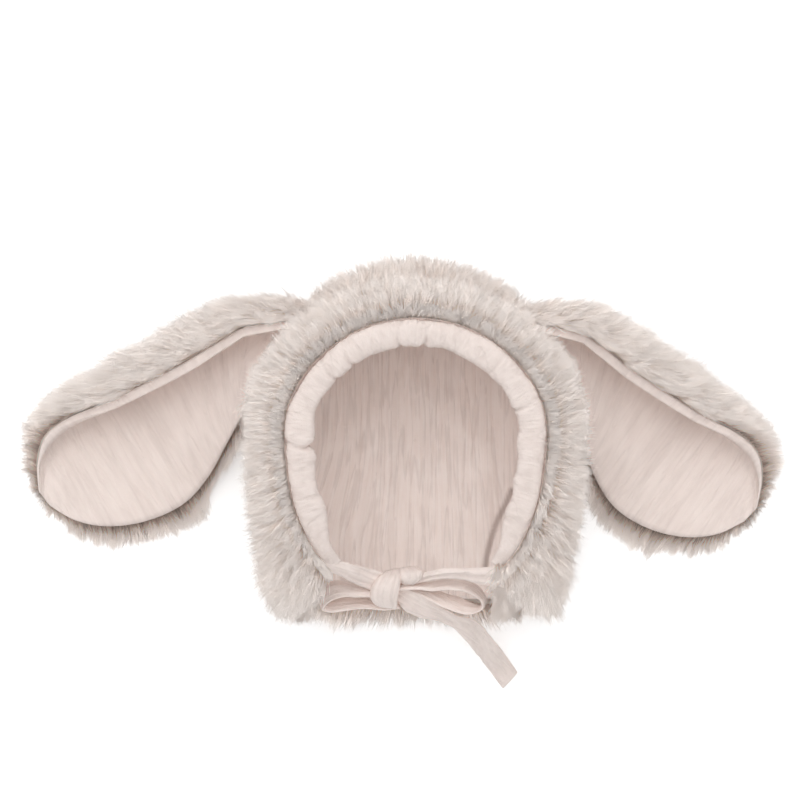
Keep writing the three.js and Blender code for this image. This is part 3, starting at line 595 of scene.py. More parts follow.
# Pile
class Gather:
    """Points, faces and strand maps of one piece, put together from several grids."""

    def __init__(self):
        self.points, self.uv, self.normals = [], [], []
        self.quads, self.tris = [], []
        self.size = 0

    def add(self, points, uv, normals, quads=None, tris=None):
        self.points.append(points)
        self.uv.append(uv)
        self.normals.append(normals)
        if quads is not None:
            self.quads.append(quads + self.size)
        if tris is not None:
            self.tris.append(tris + self.size)
        self.size += len(points)

    def build(self, name):
        groups = [np.concatenate(part) for part in (self.quads, self.tris) if part]
        obj = to_object(name, np.concatenate(self.points), groups, np.concatenate(self.uv))
        layer = obj.data.attributes.new("pile_facing", "FLOAT_VECTOR", "POINT")
        layer.data.foreach_set("vector", unit(np.concatenate(self.normals)).astype(np.float32).ravel())
        return obj


def base_shell(gather, outer, inner, facing_out, wrap, shade=0.42):
    """The dense foot of the pile: a closed wall that the strands stand on."""
    rows, cols = outer.shape[:2]
    n = rows * cols
    front = grid_faces(rows, cols, wrap)
    back = grid_faces(rows, cols, wrap, n)[:, ::-1]
    loops = border(np.arange(n).reshape(rows, cols), wrap)
    sides = [np.stack([loop[1:], loop[:-1], loop[:-1] + n, loop[1:] + n], -1) for loop in loops]
    points = np.concatenate([outer.reshape(-1, 3), inner.reshape(-1, 3)])
    # The foot takes its colour partway along the root-to-tip colour, so painted shade shows between the hairs
    uv = np.stack([np.full(2 * n, shade), 0.5 + 0.3 * noise_at(points, 4, 3)], -1)
    lit = unit(facing_out.reshape(-1, 3) * 0.6 + UP * 0.75)
    gather.add(points, uv, np.concatenate([lit, lit]), np.concatenate([front, back] + sides))


def make_tree(points):
    tree = kdtree.KDTree(len(points))
    for i, p in enumerate(points):
        tree.insert(p, i)
    tree.balance()
    return tree


def nearest(tree, points):
    found = [tree.find(p) for p in points]
    return np.array([f[1] for f in found]), np.array([f[2] for f in found])


def ear_places():
    places = []
    for ear in (LEFT_EAR, RIGHT_EAR):
        out, over = np.meshgrid(np.linspace(0, 0.5, 36), np.linspace(0, 1, 36), indexing="ij")
        places.append(ear_sheet(ear, out, over)[0].reshape(-1, 3))
    return np.concatenate(places)


EAR_TREE = make_tree(ear_places())


def strands(gather, root, normal, flow, length, width, lean, seed, floor=0.3, keep_clear=None,
            lock_size=1.9, lock_hold=0.5, stray=0.12, first=None, skipped_root_shade=0.0):
    """Tapered hairs, bent from the facing at the root towards the flow and drawn together into locks."""
    rng = np.random.default_rng(seed)
    n = len(root)
    t = np.array([[0.0], [0.5], [1.0]])
    swirl = layered(*(root / 17).T, seed, 2)[:, None]
    cross = unit(np.cross(normal, flow))
    flow = unit(flow + cross * swirl * 0.8 + rng.normal(0, 0.2, (n, 3)))
    start = unit((normal if first is None else first) + flow * 0.35 + rng.normal(0, 0.1, (n, 3)))
    end = unit(normal * lean[:, None] + flow)
    vary = 1 + 0.13 * rng.normal(0, 1, n) + 0.12 * noise_at(root, 6, seed + 9)
    vary = vary * np.where(rng.random(n) < 0.12, 1.2, 1.0)
    length = np.maximum(length * vary, 1.0)
    reach = length[:, None, None]
    path = root[:, None] + reach * (start[:, None] * (t - t**2 / 2) + end[:, None] * (t**2 / 2))
    # Small locks, and larger ones that hold the small ones loosely
    for size, hold, power in ((lock_size, lock_hold, 1.1), (lock_size * 2.6, 0.22, 1.6)):
        centres = rng.permutation(n)[: max(8, int(covered_area(root) / size**2))]
        tree = make_tree(root[centres])
        which, _ = nearest(tree, root)
        lead = path[centres][which]
        held = (hold * (0.6 + 0.8 * rng.random(len(centres))))[which][:, None, None]
        path = path + (lead - path) * np.clip(held * t**power, 0, 0.93)
        if size == lock_size:
            lock_tone = rng.random(len(centres))[which]
            lock_shift = rng.normal(0, 1.0, (len(centres), 3))[which]
            path = path + lock_shift[:, None] * (reach * 0.05) * t**2
    path = path + rng.normal(0, stray, (n, 1, 3)) * t**2 * reach * 0.5
    path[..., 2] = np.maximum(path[..., 2], floor + 0.5 * rng.random((n, 1)))
    keep = np.ones(n, bool)
    if keep_clear is not None:
        for k in (0, 1, 2):
            keep &= nearest(EAR_TREE, path[:, k])[1] > keep_clear
    path, normal, lock_tone = path[keep], normal[keep], lock_tone[keep]
    width = (width * (0.75 + 0.5 * rng.random(len(keep))))[keep]
    n = len(path)
    tangent = unit(np.gradient(path, axis=1))
    spin = unit(normal[:, None] + rng.normal(0, 0.5, (n, 1, 3)))
    side = unit(np.cross(tangent, spin))
    half = (0.5 * width[:, None] * np.array([1.0, 0.8])[None])[..., None]
    left, right = path[:, :2] - side[:, :2] * half, path[:, :2] + side[:, :2] * half
    points = np.concatenate([np.stack([left, right], 2).reshape(n, 4, 3), path[:, 2:3]], 1)
    at = (np.arange(n) * 5)[:, None]
    quads = at + np.array([[0, 1, 3, 2]])
    tris = at + np.array([[2, 3, 4]])
    tone = np.clip(0.62 + (lock_tone - 0.5) * 0.45 + rng.normal(0, 0.26, n), 0, 1)
    # Shares along the root-to-tip colour, whose darker roots are painted shade; skipped_root_shade leaves out
    # the darkest part
    u = np.broadcast_to(skipped_root_shade + (1 - skipped_root_shade) * np.array([0.0, 0.0, 0.5, 0.5, 1.0]), (n, 5))
    uv = np.stack([u, np.broadcast_to(tone[:, None], (n, 5))], -1).reshape(-1, 2)
    own = unit(np.cross(side, tangent))
    own = np.where((own * normal[:, None]).sum(-1, keepdims=True) < 0, -own, own)
    lifted = np.stack([normal[:, 0], normal[:, 1], np.maximum(normal[:, 2], 0)], axis=-1)
    shade = unit(lifted[:, None] * 0.4 + UP * 0.9 + own * 0.3 + rng.normal(0, 0.2, (n, 1, 3)))
    shade = shade[:, [0, 0, 1, 1, 2]]
    gather.add(points.reshape(-1, 3), uv, shade.reshape(-1, 3), quads, tris)


def covered_area(root):
    """Rough area that the roots cover, in square millimetres."""
    cell = 4.0
    keys = np.unique(np.floor(root / cell).astype(int), axis=0)
    return len(keys) * cell * cell * 0.55


def scatter_roots(surface, u_range, v_range, weight, count, seed, cells=(240, 80)):
    """count places (u, v) on a surface, even over its area times the weight of each place."""
    rng = np.random.default_rng(seed)
    us = np.linspace(*u_range, cells[0] + 1)
    vs = np.linspace(*v_range, cells[1] + 1)
    uu, vv = np.meshgrid(us, vs, indexing="ij")
    p = surface(uu, vv)
    area = np.linalg.norm(np.cross(p[1:, :-1] - p[:-1, :-1], p[:-1, 1:] - p[:-1, :-1]), axis=-1)
    mu, mv = (uu[1:, 1:] + uu[:-1, :-1]) / 2, (vv[1:, 1:] + vv[:-1, :-1]) / 2
    share = (area * weight(mu, mv)).ravel()
    pick = rng.choice(len(share), count, p=share / share.sum())
    i, j = np.unravel_index(pick, area.shape)
    u = us[i] + (us[1] - us[0]) * rng.random(count)
    v = vs[j] + (vs[1] - vs[0]) * rng.random(count)
    return u, v


# Number of hairs, and their length and width in millimetres
CROWN_HAIR = (46000, 14.5, 0.44)
BAND_HAIR = (47000, 15.0, 0.44)
FRONT_ROW_HAIR = (11000, 9.0, 0.42)
TUFT_HAIR = (2600, 10.0, 0.42)
EAR_HAIR = (54000, 16.5, 0.45)
# Pile's foot: how much lower it is at the cloth's edge, where on the way there that starts, and a seed
CROWN_FOOT = (0.5, 0.85, 5)
BAND_FOOT = (0.35, 0.7, 6)
CROWN_FOOT_SHARE = 0.36  # of the pile's depth
EAR_FOOT_SHARE = 0.34
FOOT_CLEARANCE = 0.2  # mm over the surface
# How far the hairs stay from an ear's cloth, in mm
CROWN_CLEAR = 3.2
BAND_CLEAR = 3.0
# Side, the pixels across between which a tuft stands, and its seed
TUFTS = ((1, 496, 522, 24), (-1, 290, 311, 25))
TUFT_TOP_PIXEL = 563
TUFT_LOW_PIXEL = 611
TUFT_HEIGHT = 84
TUFT_FALL = 0.62  # mm that a tuft's roots lie lower for each pixel down


def foot_rise(cloth, reach, loss, start, seed):
    """Height of the pile's dense foot, which gives way to the ears."""
    near = nearest(EAR_TREE, cloth.reshape(-1, 3))[1].reshape(reach.shape)
    rise = CROWN_FOOT_SHARE * PILE * smoothstep(near, 3, 12) * (1 - loss * smoothstep(reach, start, 1))
    return rise * (1 + 0.25 * noise_at(cloth, 5, seed))


def make_crown_pile():
    gather, backing = Gather(), Gather()
    turn, reach = np.meshgrid(np.linspace(-1, 1, 121)[:-1], np.linspace(0.01, 1, 26)**0.7)
    cloth = crown_cloth(turn, reach)
    out = crown_out(turn, reach)
    outer = cloth + out * (GAP + BACKING + foot_rise(cloth, reach, *CROWN_FOOT))[..., None]
    outer[..., 2] = np.maximum(outer[..., 2], FOOT_CLEARANCE)
    base_shell(backing, outer[:, ::-1], (cloth + out * GAP)[:, ::-1], out[:, ::-1], True)

    def weight(turn, reach):
        neck = smoothstep(np.abs(turn), 0.75, 0.85) * smoothstep(reach, 0.8, 0.95)
        return 0.07 + 0.93 * smoothstep(reach, 0.45, 0.8) + 2.0 * neck

    count, length, width = CROWN_HAIR
    u, v = scatter_roots(crown_cloth, (-1, 1), (0.05, 1), weight, count, 11)
    cloth = crown_cloth(u, v)
    out = crown_facing(u, v)
    neck = neck_share(u) * smoothstep(v, 0.84, 0.97)
    spoke = unit(crown_cloth(u, np.maximum(0, v - 0.04)) - cloth)
    flow = unit(spoke * (1 - 2 * neck)[:, None] + out * 0.001)
    valley = lerp(1 - 0.3 * smoothstep(v, 0.86, 1), 1.15, neck)
    pressed = 1 - 0.45 * (1 - smoothstep(v, 0.3, 0.6))
    depth = 0.3 + 0.6 * np.random.default_rng(51).random(len(u))
    root = cloth + out * (GAP + BACKING + depth * foot_rise(cloth, v, *CROWN_FOOT))[:, None]
    first = unit(out * (1 - 0.6 * neck)[:, None] + flow * (0.7 * neck)[:, None])
    length = length * valley * pressed
    lean = 0.5 - 0.3 * neck
    strands(gather, root, out, flow, length, width, lean, 21, keep_clear=CROWN_CLEAR, first=first)
    return backing.build("backing_crown"), gather.build("plush_crown")


def past_end(share):
    """Direction along the front edge, away from its middle."""
    return unit((front_edge(share) - front_edge(share * 0.97)) * np.array([1, 1, 0]))


def make_band_pile():
    gather, backing = Gather(), Gather()
    share, reach = np.meshgrid(np.linspace(-1, 1, 141), np.linspace(SEAM_GAP, 0.985, 15))
    cloth = band_cloth(share, reach)
    out = band_out(share, reach)
    outer = cloth + out * (GAP + BACKING + foot_rise(cloth, reach, *BAND_FOOT))[..., None]
    base_shell(backing, outer, cloth + out * GAP, out, False)

    def weight(share, reach):
        corner = smoothstep(np.abs(share), 0.9, 0.97)
        return 0.3 + 0.7 * smoothstep(reach, 0.0, 0.4) + 0.8 * smoothstep(reach, 0.75, 0.97) + 2.0 * corner

    rng = np.random.default_rng(52)
    count, length, width = BAND_HAIR
    u, v = scatter_roots(band_cloth, (-1, 1), (SEAM_GAP, 0.99), weight, count, 12)
    cloth = band_cloth(u, v)
    out = band_facing(u, v)
    back = unit(band_cloth(u, np.maximum(0, v - 0.05)) - cloth)
    past = past_end(u)
    end = smoothstep(np.abs(u), 0.9, 1.0)
    front = smoothstep(v, 0.6, 1.0)
    cheek = smoothstep(np.abs(u), 0.5, 0.8)
    down = np.array([0.0, -1.0, 0.0])
    flow = back * (1 - 0.35 * front)[:, None] * (1 - 0.6 * end)[:, None]
    flow = unit(flow + past * (1.2 * end)[:, None] + down * (0.45 * cheek)[:, None])
    full = (0.65 + 0.35 * smoothstep(v, 0, 0.3)) * (1 - 0.15 * smoothstep(v, 0.72, 1))
    depth = 0.3 + 0.6 * rng.random(len(u))
    root = cloth + out * (GAP + BACKING + depth * foot_rise(cloth, v, *BAND_FOOT))[:, None]
    first = unit(out - back * (0.9 * front)[:, None])
    length = length * (full * (1 + 0.35 * end))
    lean = 0.85 + 0.4 * front
    strands(gather, root, out, flow, length, width, lean, 22, keep_clear=BAND_CLEAR, first=first)

    # Front row, which stands up along the padded edge and falls outward
    count, length, width = FRONT_ROW_HAIR
    u = rng.uniform(-1, 1, count)
    edge = front_edge(u)
    out = band_facing(u, np.full_like(u, 0.97))
    past = past_end(u)
    end = smoothstep(np.abs(u), 0.9, 1.0)
    cheek = smoothstep(np.abs(u), 0.5, 0.8)
    aside = out * (0.2 + 5.6 * rng.random(count)**1.3)[:, None]
    root = edge + aside - UP * (0.5 + 1.5 * rng.random(count))[:, None]
    normal = unit(UP * 0.9 + out * 0.35)
    flow = unit(out + down * (0.5 * cheek)[:, None] + past * (0.9 * end)[:, None])
    first = unit(UP - out * (0.25 * rng.random(count))[:, None] + past * (0.6 * end)[:, None])
    lean = np.full(count, 0.35)
    length = np.full(count, length)
    # The front row's roots get less of the painted root shade
    strands(gather, root, normal, flow, length, width, lean, 23, keep_clear=BAND_CLEAR, first=first, skipped_root_shade=0.4)

    # Tufts at the two lower corners, which hang over the ends of the padded edge
    count, length, width = TUFT_HAIR
    for side, near, far, seed in TUFTS:
        px = rng.uniform(near, far, count)
        py = rng.uniform(TUFT_TOP_PIXEL, TUFT_LOW_PIXEL, count)
        z = TUFT_HEIGHT - (py - TUFT_TOP_PIXEL) * TUFT_FALL - 3 * rng.random(count)
        root = np.stack(seen(px, py, z, READ_MIDDLE), axis=-1)
        flow = unit(np.array([-0.45 * side, -1.0, 0.0]) + rng.normal(0, 0.45, root.shape))
        first = unit(UP * 0.8 + flow * 0.6)
        upward = np.tile(UP, (count, 1))
        lean = np.full(count, 0.5)
        strands(gather, root, upward, flow, np.full(count, length), width, lean, seed, first=first)
    return backing.build("backing_band"), gather.build("plush_band")


HEMMED = 1 - EAR_HEM_WIDTH


def make_ear_pile(ear):
    gather, backing = Gather(), Gather()
    left = ear["side"] < 0
    out_share, over = np.meshgrid(np.linspace(0.02, 1, 61), np.linspace(0, HEMMED, 31))
    point, under, onward, axis = ear_sheet(ear, out_share, over)
    grown = lerp(0.5, 1, smoothstep(out_share, 0.02, 0.22)) * lerp(1, 0.6, smoothstep(out_share, 0.9, 1))
    rise = EAR_FOOT_SHARE * PILE * grown * (1 + 0.2 * noise_at(point, 5, 7))
    rise = rise * (0.2 + 0.8 * smoothstep(over, 0, 0.1)) * (0.1 + 0.9 * smoothstep(HEMMED - over, 0, 0.12))
    outer = point + under * (GAP + BACKING + rise)[..., None]
    outer[..., 2] = np.maximum(outer[..., 2], FOOT_CLEARANCE)
    inner = point + under * GAP
    if left:
        base_shell(backing, outer[:, ::-1], inner[:, ::-1], under[:, ::-1], False)
    else:
        base_shell(backing, outer, inner, under, False)

    def weight(out_share, over):
        bent = smoothstep(over, 0.52, 0.66)
        free = 1 - smoothstep(over, 0.0, 0.09)
        tip = smoothstep(out_share, 0.93, 1.0)
        return 0.05 + 1.0 * bent + 1.6 * free + 0.8 * tip

    def surface(a, b):
        return ear_sheet(ear, a, b)[0]

    count, length, width = EAR_HAIR
    u, v = scatter_roots(surface, (0.01, 1), (0, HEMMED), weight, count, 13 + ear["side"])
    point, under, onward, axis = ear_sheet(ear, u, v)
    grown = lerp(0.6, 1, smoothstep(u, 0.02, 0.2)) * lerp(1, 0.8, smoothstep(u, 0.9, 1))
    free = 1 - smoothstep(v, 0.0, 0.2)
    tip = smoothstep(u, 0.86, 1.0)
    bent = smoothstep(v, 0.5, 0.7)
    near_hem = smoothstep(v, HEMMED - 0.1, HEMMED)
    sideways = -onward * (0.35 + 1.5 * free + 0.3 * tip - 0.15 * near_hem)[:, None]
    flow = unit(axis * (1.0 + 0.4 * tip)[:, None] + sideways)
    root = point + under * (GAP + BACKING)
    length = length * grown * (1 - 0.1 * near_hem)
    lean = 0.45 + 0.15 * bent - 0.25 * free
    first = unit(under + onward * (0.8 * near_hem)[:, None] - onward * (0.8 * free)[:, None])
    strands(gather, root, under, flow, length, width, lean, 31 + ear["side"], first=first)
    return backing.build("backing_" + ear["name"]), gather.build("plush_" + ear["name"])


# Linings
def ridged(x, y, z=0.0, seed=0, octaves=3):
    total, weight, size = 0.0, 0.0, 1.0
    for k in range(octaves):
        total = total + (1 - np.abs(noise(x * 2**k, y * 2**k, z, seed + k)) * 2) * size
        weight += size
        size *= 0.5
    return total / weight


def lining_lane(x, y):
    """Distance across the creases, which fan out below on the left."""
    left = 1 + 0.3 * smoothstep(-y, -5, 70)
    right = 1 + 0.06 * smoothstep(-y, 0, 70)
    return x / lerp(left, right, smoothstep(x, -25, 15))


def lining_relief(place):
    """Creases from the nape up over the back, fanned to the sides, with finer crinkles between them."""
    x, y, z = place[..., 0], place[..., 1], place[..., 2]
    lane = lining_lane(x, y) + 1.5 * noise(x / 30, y / 40, z / 40, 30)
    broad = 0.5 + 0.5 * np.cos(lane / 15 * 2 * np.pi + 1.7 * np.sin(x / 31))
    ribs = ridged(lane / 6.0 + 0.25 * noise(x / 20, y / 18, z / 18, 31), (y + 0.4 * z) / 55, 0, 32, 2)
    fine = ridged(lane / 2.6 + 0.3 * noise(x / 9, y / 12, 0, 34), (y + 0.3 * z) / 25, z / 22, 35, 2)
    across = ridged(y / 2.4 + 0.8 * noise(x / 8, y / 5, 0, 38), x / 16, 0, 39, 2)
    return 1.1 * broad + 0.6 * ribs + 0.3 * fine + 0.22 * across, ribs, 0.6 * fine + 0.5 * across


# Line along which the lining has come away from the padded edge, in pixels across and down the picture; a
# small groove in the mesh with a painted shadow along it
SLOT = ((511.0, 491.0), (506.0, 503.0), (497.5, 520.0), (490.5, 540.0), (486.5, 556.0), (484.0, 575.0))
SLOT_WIDTH = 2.8  # pixels
# Painted shade of folds on the lining: place across the creases, half width and how dark, then how far up the
# hat one begins to show, shows in full and begins to fade, in mm, where 1000 is past the top
PAINTED_FOLD_SHADE = (
    (40, 4.2, 0.5, -10, 4, 46),
    (-50, 5, 0.16, -30, 10, 1000),
    (-33, 3, 0.14, 0, 25, 1000),
    (10, 3, 0.1, -60, 0, 1000),
)


def lining_shade(place):
    """Painted shade on the lining: darker towards the top, which the front edge keeps from the light, painted
    shadows of broad folds, and a painted shadow in the slot beside the padded edge.
    """
    x, y, z = place[..., 0], place[..., 1], place[..., 2]
    lane = lining_lane(x, y)
    # Painted shade of the upper wall, which the front edge keeps from the light falling from the top
    shade = 1 - 0.3 * smoothstep(y, -20, 45)
    for at, width, amount, low, high, top in PAINTED_FOLD_SHADE:
        shown = smoothstep(y, low, high) * (1 - smoothstep(y, top, top + 14))
        shade = shade * (1 - amount * hump(lane - at, width) * shown)
    x = MIDDLE_PIXEL + (x - READ_MIDDLE[0]) / pixel_size(z)
    y = MIDDLE_PIXEL - (y - READ_MIDDLE[1]) / pixel_size(z)
    near = np.full(x.shape, 1e9)
    for (ax, ay), (bx, by) in zip(SLOT[:-1], SLOT[1:]):
        t = np.clip(((x - ax) * (bx - ax) + (y - ay) * (by - ay)) / ((bx - ax)**2 + (by - ay)**2), 0, 1)
        near = np.minimum(near, np.hypot(x - ax - t * (bx - ax), y - ay - t * (by - ay)))
    # Painted shadow in the slot, taken off the shade
    slot = np.exp(-(near / SLOT_WIDTH)**4)
    return shade - 4 * slot, slot


def make_crown_lining():
    turn, reach = np.meshgrid(np.linspace(-1, 1, 433)[:-1], np.linspace(0.0004, 1, 93))
    cloth = crown_cloth(turn, reach)
    out = crown_out(turn, reach)
    relief, ribs, fine = lining_relief(cloth)
    flat = 1 - 0.7 * smoothstep(reach, 0.97, 1)
    inner = cloth - out * (GAUZE + np.maximum(0, 0.4 + relief) * flat)[..., None]
    shade, slot = lining_shade(inner)
    # The slot is also pushed back a little as a real groove
    inner = inner + out * (slot * np.minimum(1.6, relief + 0.6))[..., None]
    # Painted shade in the hollows of the creases, times the lining's painted shade and shadows
    opened = np.clip(0.6 + 0.4 * smoothstep(ribs, -0.4, 0.4) + 0.1 * fine, 0, 1) * shade
    uv = np.stack([lining_lane(cloth[..., 0], cloth[..., 1]), cloth[..., 1] + cloth[..., 2]], -1) * MM
    return shell("lining_crown", inner, cloth, uv, opened, wrap=True, coarse=4)


def make_band_lining():
    share, reach = np.meshgrid(np.linspace(-1, 1, 401), np.linspace(SEAM_GAP, 0.94, 17))
    cloth = band_cloth(share, reach)
    out = band_out(share, reach)
    run = share * 215
    relief = 0.5 * ridged(run / 5.0, cloth[..., 2] / 30, 0, 41, 2)
    relief = relief + 0.25 * noise(run / 1.8, cloth[..., 2] / 9, 0, 43)
    inner = cloth - out * (GAUZE + 0.4 + relief * 0.6)[..., None]
    uv = np.stack([run, cloth[..., 2]], -1) * MM
    # Painted shadow in the slot beside the padded edge
    opened = 1 - 4 * lining_shade(inner)[1]
    sheets = [grid[:, ::-1] for grid in (inner, cloth, uv, opened)]
    return shell("lining_band", *sheets, coarse=4)


def make_ear_lining(ear):
    hem = np.concatenate([
        np.linspace(0, 0.5, 17)[:-1], np.linspace(0.5, HEMMED, 25), np.linspace(HEMMED + 0.006, 1, 8)])
    out_share, over = np.meshgrid(np.linspace(0.0, 1, 181), hem)
    point, under, onward, axis = ear_sheet(ear, out_share, over)
    hem_run = smoothstep(out_share, 0.08, 0.3) * (1 - smoothstep(out_share, 0.8, 0.95))
    past = smoothstep(over, HEMMED, HEMMED + 0.012)
    roll = np.sqrt(np.clip(1 - ((over - (HEMMED + 0.5 * EAR_HEM_WIDTH)) / (0.52 * EAR_HEM_WIDTH))**2, 0, 1))
    run = out_share * ear["length"]
    wide = over * 95
    slant = run + 0.12 * wide
    ribs = ridged(slant / 5.2 + 0.4 * noise(run / 16, wide / 16, 0, 51), wide / 30, 0, 52, 2)
    fine = ridged(slant / 1.9 + 0.3 * noise(run / 7, wide / 9, 0, 54), wide / 14, 0, 55, 2)
    crinkle = 0.3 * ribs + 0.2 * fine + 0.7 * noise(run / 20, wide / 24, 0, 57)
    hem_rise = hem_run * past * (0.55 * EAR_HEM_RISE * (0.75 + 0.25 * roll))
    outside = point + under * (hem_rise + 0.2 * crinkle * past)[..., None]
    inside = point - under * (GAUZE + 0.6 + 0.8 * crinkle)[..., None]
    # Painted shade in the hollows of the crinkles
    opened = np.clip(0.65 + 0.35 * smoothstep(ribs, -0.4, 0.4) + 0.1 * fine, 0, 1)
    uv = np.stack([slant, wide], -1) * MM
    sheets = [inside, outside, uv, opened]
    if ear["side"] > 0:
        sheets = [grid[:, ::-1] for grid in sheets]
    return shell("lining_" + ear["name"], *sheets)


# Padded edge

# Its creases: share of the way from the middle of the top edge to a flap, below 0 on the left, then the depth,
# below 0 for a ridge, and the half width in mm
RIM_CREASES = (
    (0.02, 2.0, 2.2), (-0.045, 1.3, 1.6), (-0.225, 1.4, 1.7), (-0.30, 1.5, 1.9), (-0.62, 3.0, 1.6),
    (-0.585, -0.9, 3.0), (-0.66, -0.9, 3.0), (-0.78, 0.5, 2.6), (0.13, 0.4, 1.6), (0.27, 0.5, 1.8),
    (0.45, 1.1, 1.6), (0.56, 0.5, 1.6), (0.71, 0.8, 2.4), (0.86, 0.7, 2.6), (-0.46, 0.4, 1.6),
)


def make_rim():
    steps, sides = 800, 30
    share = np.linspace(-1, 1, steps + 1)
    edge = front_edge(share)
    tangent = unit(front_edge(np.minimum(1, share + 0.01)) - front_edge(np.maximum(-1, share - 0.01)))
    down = unit(band_cloth(share, np.full_like(share, 0.9)) - band_cloth(share, np.ones_like(share)))
    inward = unit(np.cross(tangent, UP))
    inward = np.where(dot(inward, edge * np.array([1, 1, 0])) > 0, -inward, inward)
    run = run_along(edge)
    gather = 1 + 0.03 * np.sin(share * 11 * np.pi + 2 * np.sin(share * 9))
    taper = 1 - 0.5 * smoothstep(np.abs(share), 0.84, 1)
    wide = (RIM_WIDTH / 2 + 0.6) * gather * taper
    thick = RIM_THICKNESS / 2 * taper
    centre = edge + inward * (0.2 + wide)[:, None] + down * (-RIM_THICKNESS * 0.1)
    angle = np.linspace(0, 2 * np.pi, sides + 1)[:-1]
    a = angle[None, :]
    r = run[:, None]
    wave_run = r / 4.4 + 0.3 * np.sin(a) + 0.3 * noise(r / 9, np.cos(a), 0, 61)
    waves = ridged(wave_run, 0.7 * np.cos(a), 0.7 * np.sin(a), 62, 2)
    small_run = r / 1.7 + 0.5 * np.sin(a + 0.4) + 0.3 * noise(r / 4, np.cos(a), 0, 63)
    small = ridged(small_run, np.cos(a), np.sin(a), 64, 2)
    pucker = 0.24 * waves + 0.15 * small + 0.6 * noise(r / 12, 0.8 * np.cos(a), 0.8 * np.sin(a), 66)
    # Painted shade in the hollows of the puckers
    opened = np.clip(0.75 + 0.25 * smoothstep(waves, -0.4, 0.5) + 0.1 * small, 0, 1)
    inner_face = smoothstep(np.cos(a), -0.4, 0.8)
    for place, depth, width in RIM_CREASES:
        at = np.interp(place, share, run)
        lean = (2.6 * np.sin(a) + 1.4 * np.cos(a)) * np.sign(place)
        dent = hump(r - at - lean, width) * (0.25 + 0.75 * inner_face)
        pucker = pucker - depth * dent
        # Painted shade in the deeper creases, more on the inner face
        dark = min(0.9, 0.5 * max(depth, 0)) * hump(r - at - lean, 0.5 * width)
        opened = opened * (1 - dark * (0.3 + 0.7 * inner_face))
    out_dir = inward[:, None] * np.cos(a)[..., None] + UP * np.sin(a)[..., None]
    flat_top = squared(np.sin(a), 0.85)
    point = centre[:, None] + inward[:, None] * (wide[:, None] * np.cos(a))[..., None]
    point = point + UP * (thick[:, None] * flat_top)[..., None]
    point = point + out_dir * (pucker * taper[:, None] - 0.1)[..., None]
    # The cut ends turn down under the pile
    drop = smoothstep(np.abs(share), 0.955, 1.0)
    point[..., 2] -= 3.5 * drop[:, None]
    uv = np.stack([np.broadcast_to(r, pucker.shape), np.broadcast_to(a * 6, pucker.shape)], -1) * MM
    n = steps + 1
    faces = grid_faces(n, sides, True)[:, ::-1]
    points = np.concatenate([point.reshape(-1, 3), point[0].mean(0)[None], point[-1].mean(0)[None]])
    uvs = np.concatenate([uv.reshape(-1, 2), uv[0, :1], uv[-1, :1]])
    first = np.arange(sides)
    last = first + (n - 1) * sides
    ends = np.concatenate([
        np.stack([np.full(sides, n * sides), np.roll(first, -1), first], -1)[:, ::-1],
        np.stack([np.full(sides, n * sides + 1), last, np.roll(last, -1)], -1)[:, ::-1],
    ])
    obj = to_object("rim_face", points, [faces, ends], uvs)
    paint_cavity(obj, np.concatenate([opened.ravel(), [1, 1]]))
    return obj


# Ties
def through(places, t):
    """A centripetal curve through the places, and its direction, at the shares t."""
    p = np.asarray(places, float)
    last = len(p) - 1
    at = np.clip(t, 0, 1) * last
    i = np.minimum(np.floor(at).astype(int), last - 1)
    w = (at - i)[:, None]
    ext = np.concatenate([[2 * p[0] - p[1]], p, [2 * p[-1] - p[-2]]])
    x0, x1, x2, x3 = ext[i], ext[i + 1], ext[i + 2], ext[i + 3]
    spans = ((x0, x1), (x1, x2), (x2, x3))
    gap = [np.maximum(((b - a)**2).sum(-1, keepdims=True)**0.25, 1e-4) for a, b in spans]
    t1 = ((x1 - x0) / gap[0] - (x2 - x0) / (gap[0] + gap[1]) + (x2 - x1) / gap[1]) * gap[1]
    t2 = ((x2 - x1) / gap[1] - (x3 - x1) / (gap[1] + gap[2]) + (x3 - x2) / gap[2]) * gap[1]
    c2, c3 = -3 * x1 + 3 * x2 - 2 * t1 - t2, 2 * x1 - 2 * x2 + t1 + t2
    return x1 + t1 * w + c2 * w**2 + c3 * w**3, unit(t1 + 2 * c2 * w + 3 * c3 * w**2)


def tube_faces(rows, sides):
    """A tube whose two ends are closed by strips from side to side."""
    half = sides // 2
    first = np.arange(sides)
    caps = []
    for loop in (first[::-1], first + (rows - 1) * sides):
        a = loop[:half]
        b = loop[half:][::-1]
        caps.append(np.stack([a[:-1], a[1:], b[1:], b[:-1]], -1))
    return np.concatenate([grid_faces(rows, sides, True)] + caps)


def rail(rows, t):
    """Places at the shares t of a rail, whose rows hold two pixel places and a height."""
    return through([seen(*row) for row in rows], t)[0]


def even_shares(one, two, count):
    """Shares of the way along the two rails' middle line at even distances, and those distances."""
    t = np.linspace(0, 1, 801)
    middle = (rail(one, t) + rail(two, t)) / 2
    run = run_along(middle)
    distances = np.linspace(0, run[-1], count)
    return np.interp(distances, run, t), distances


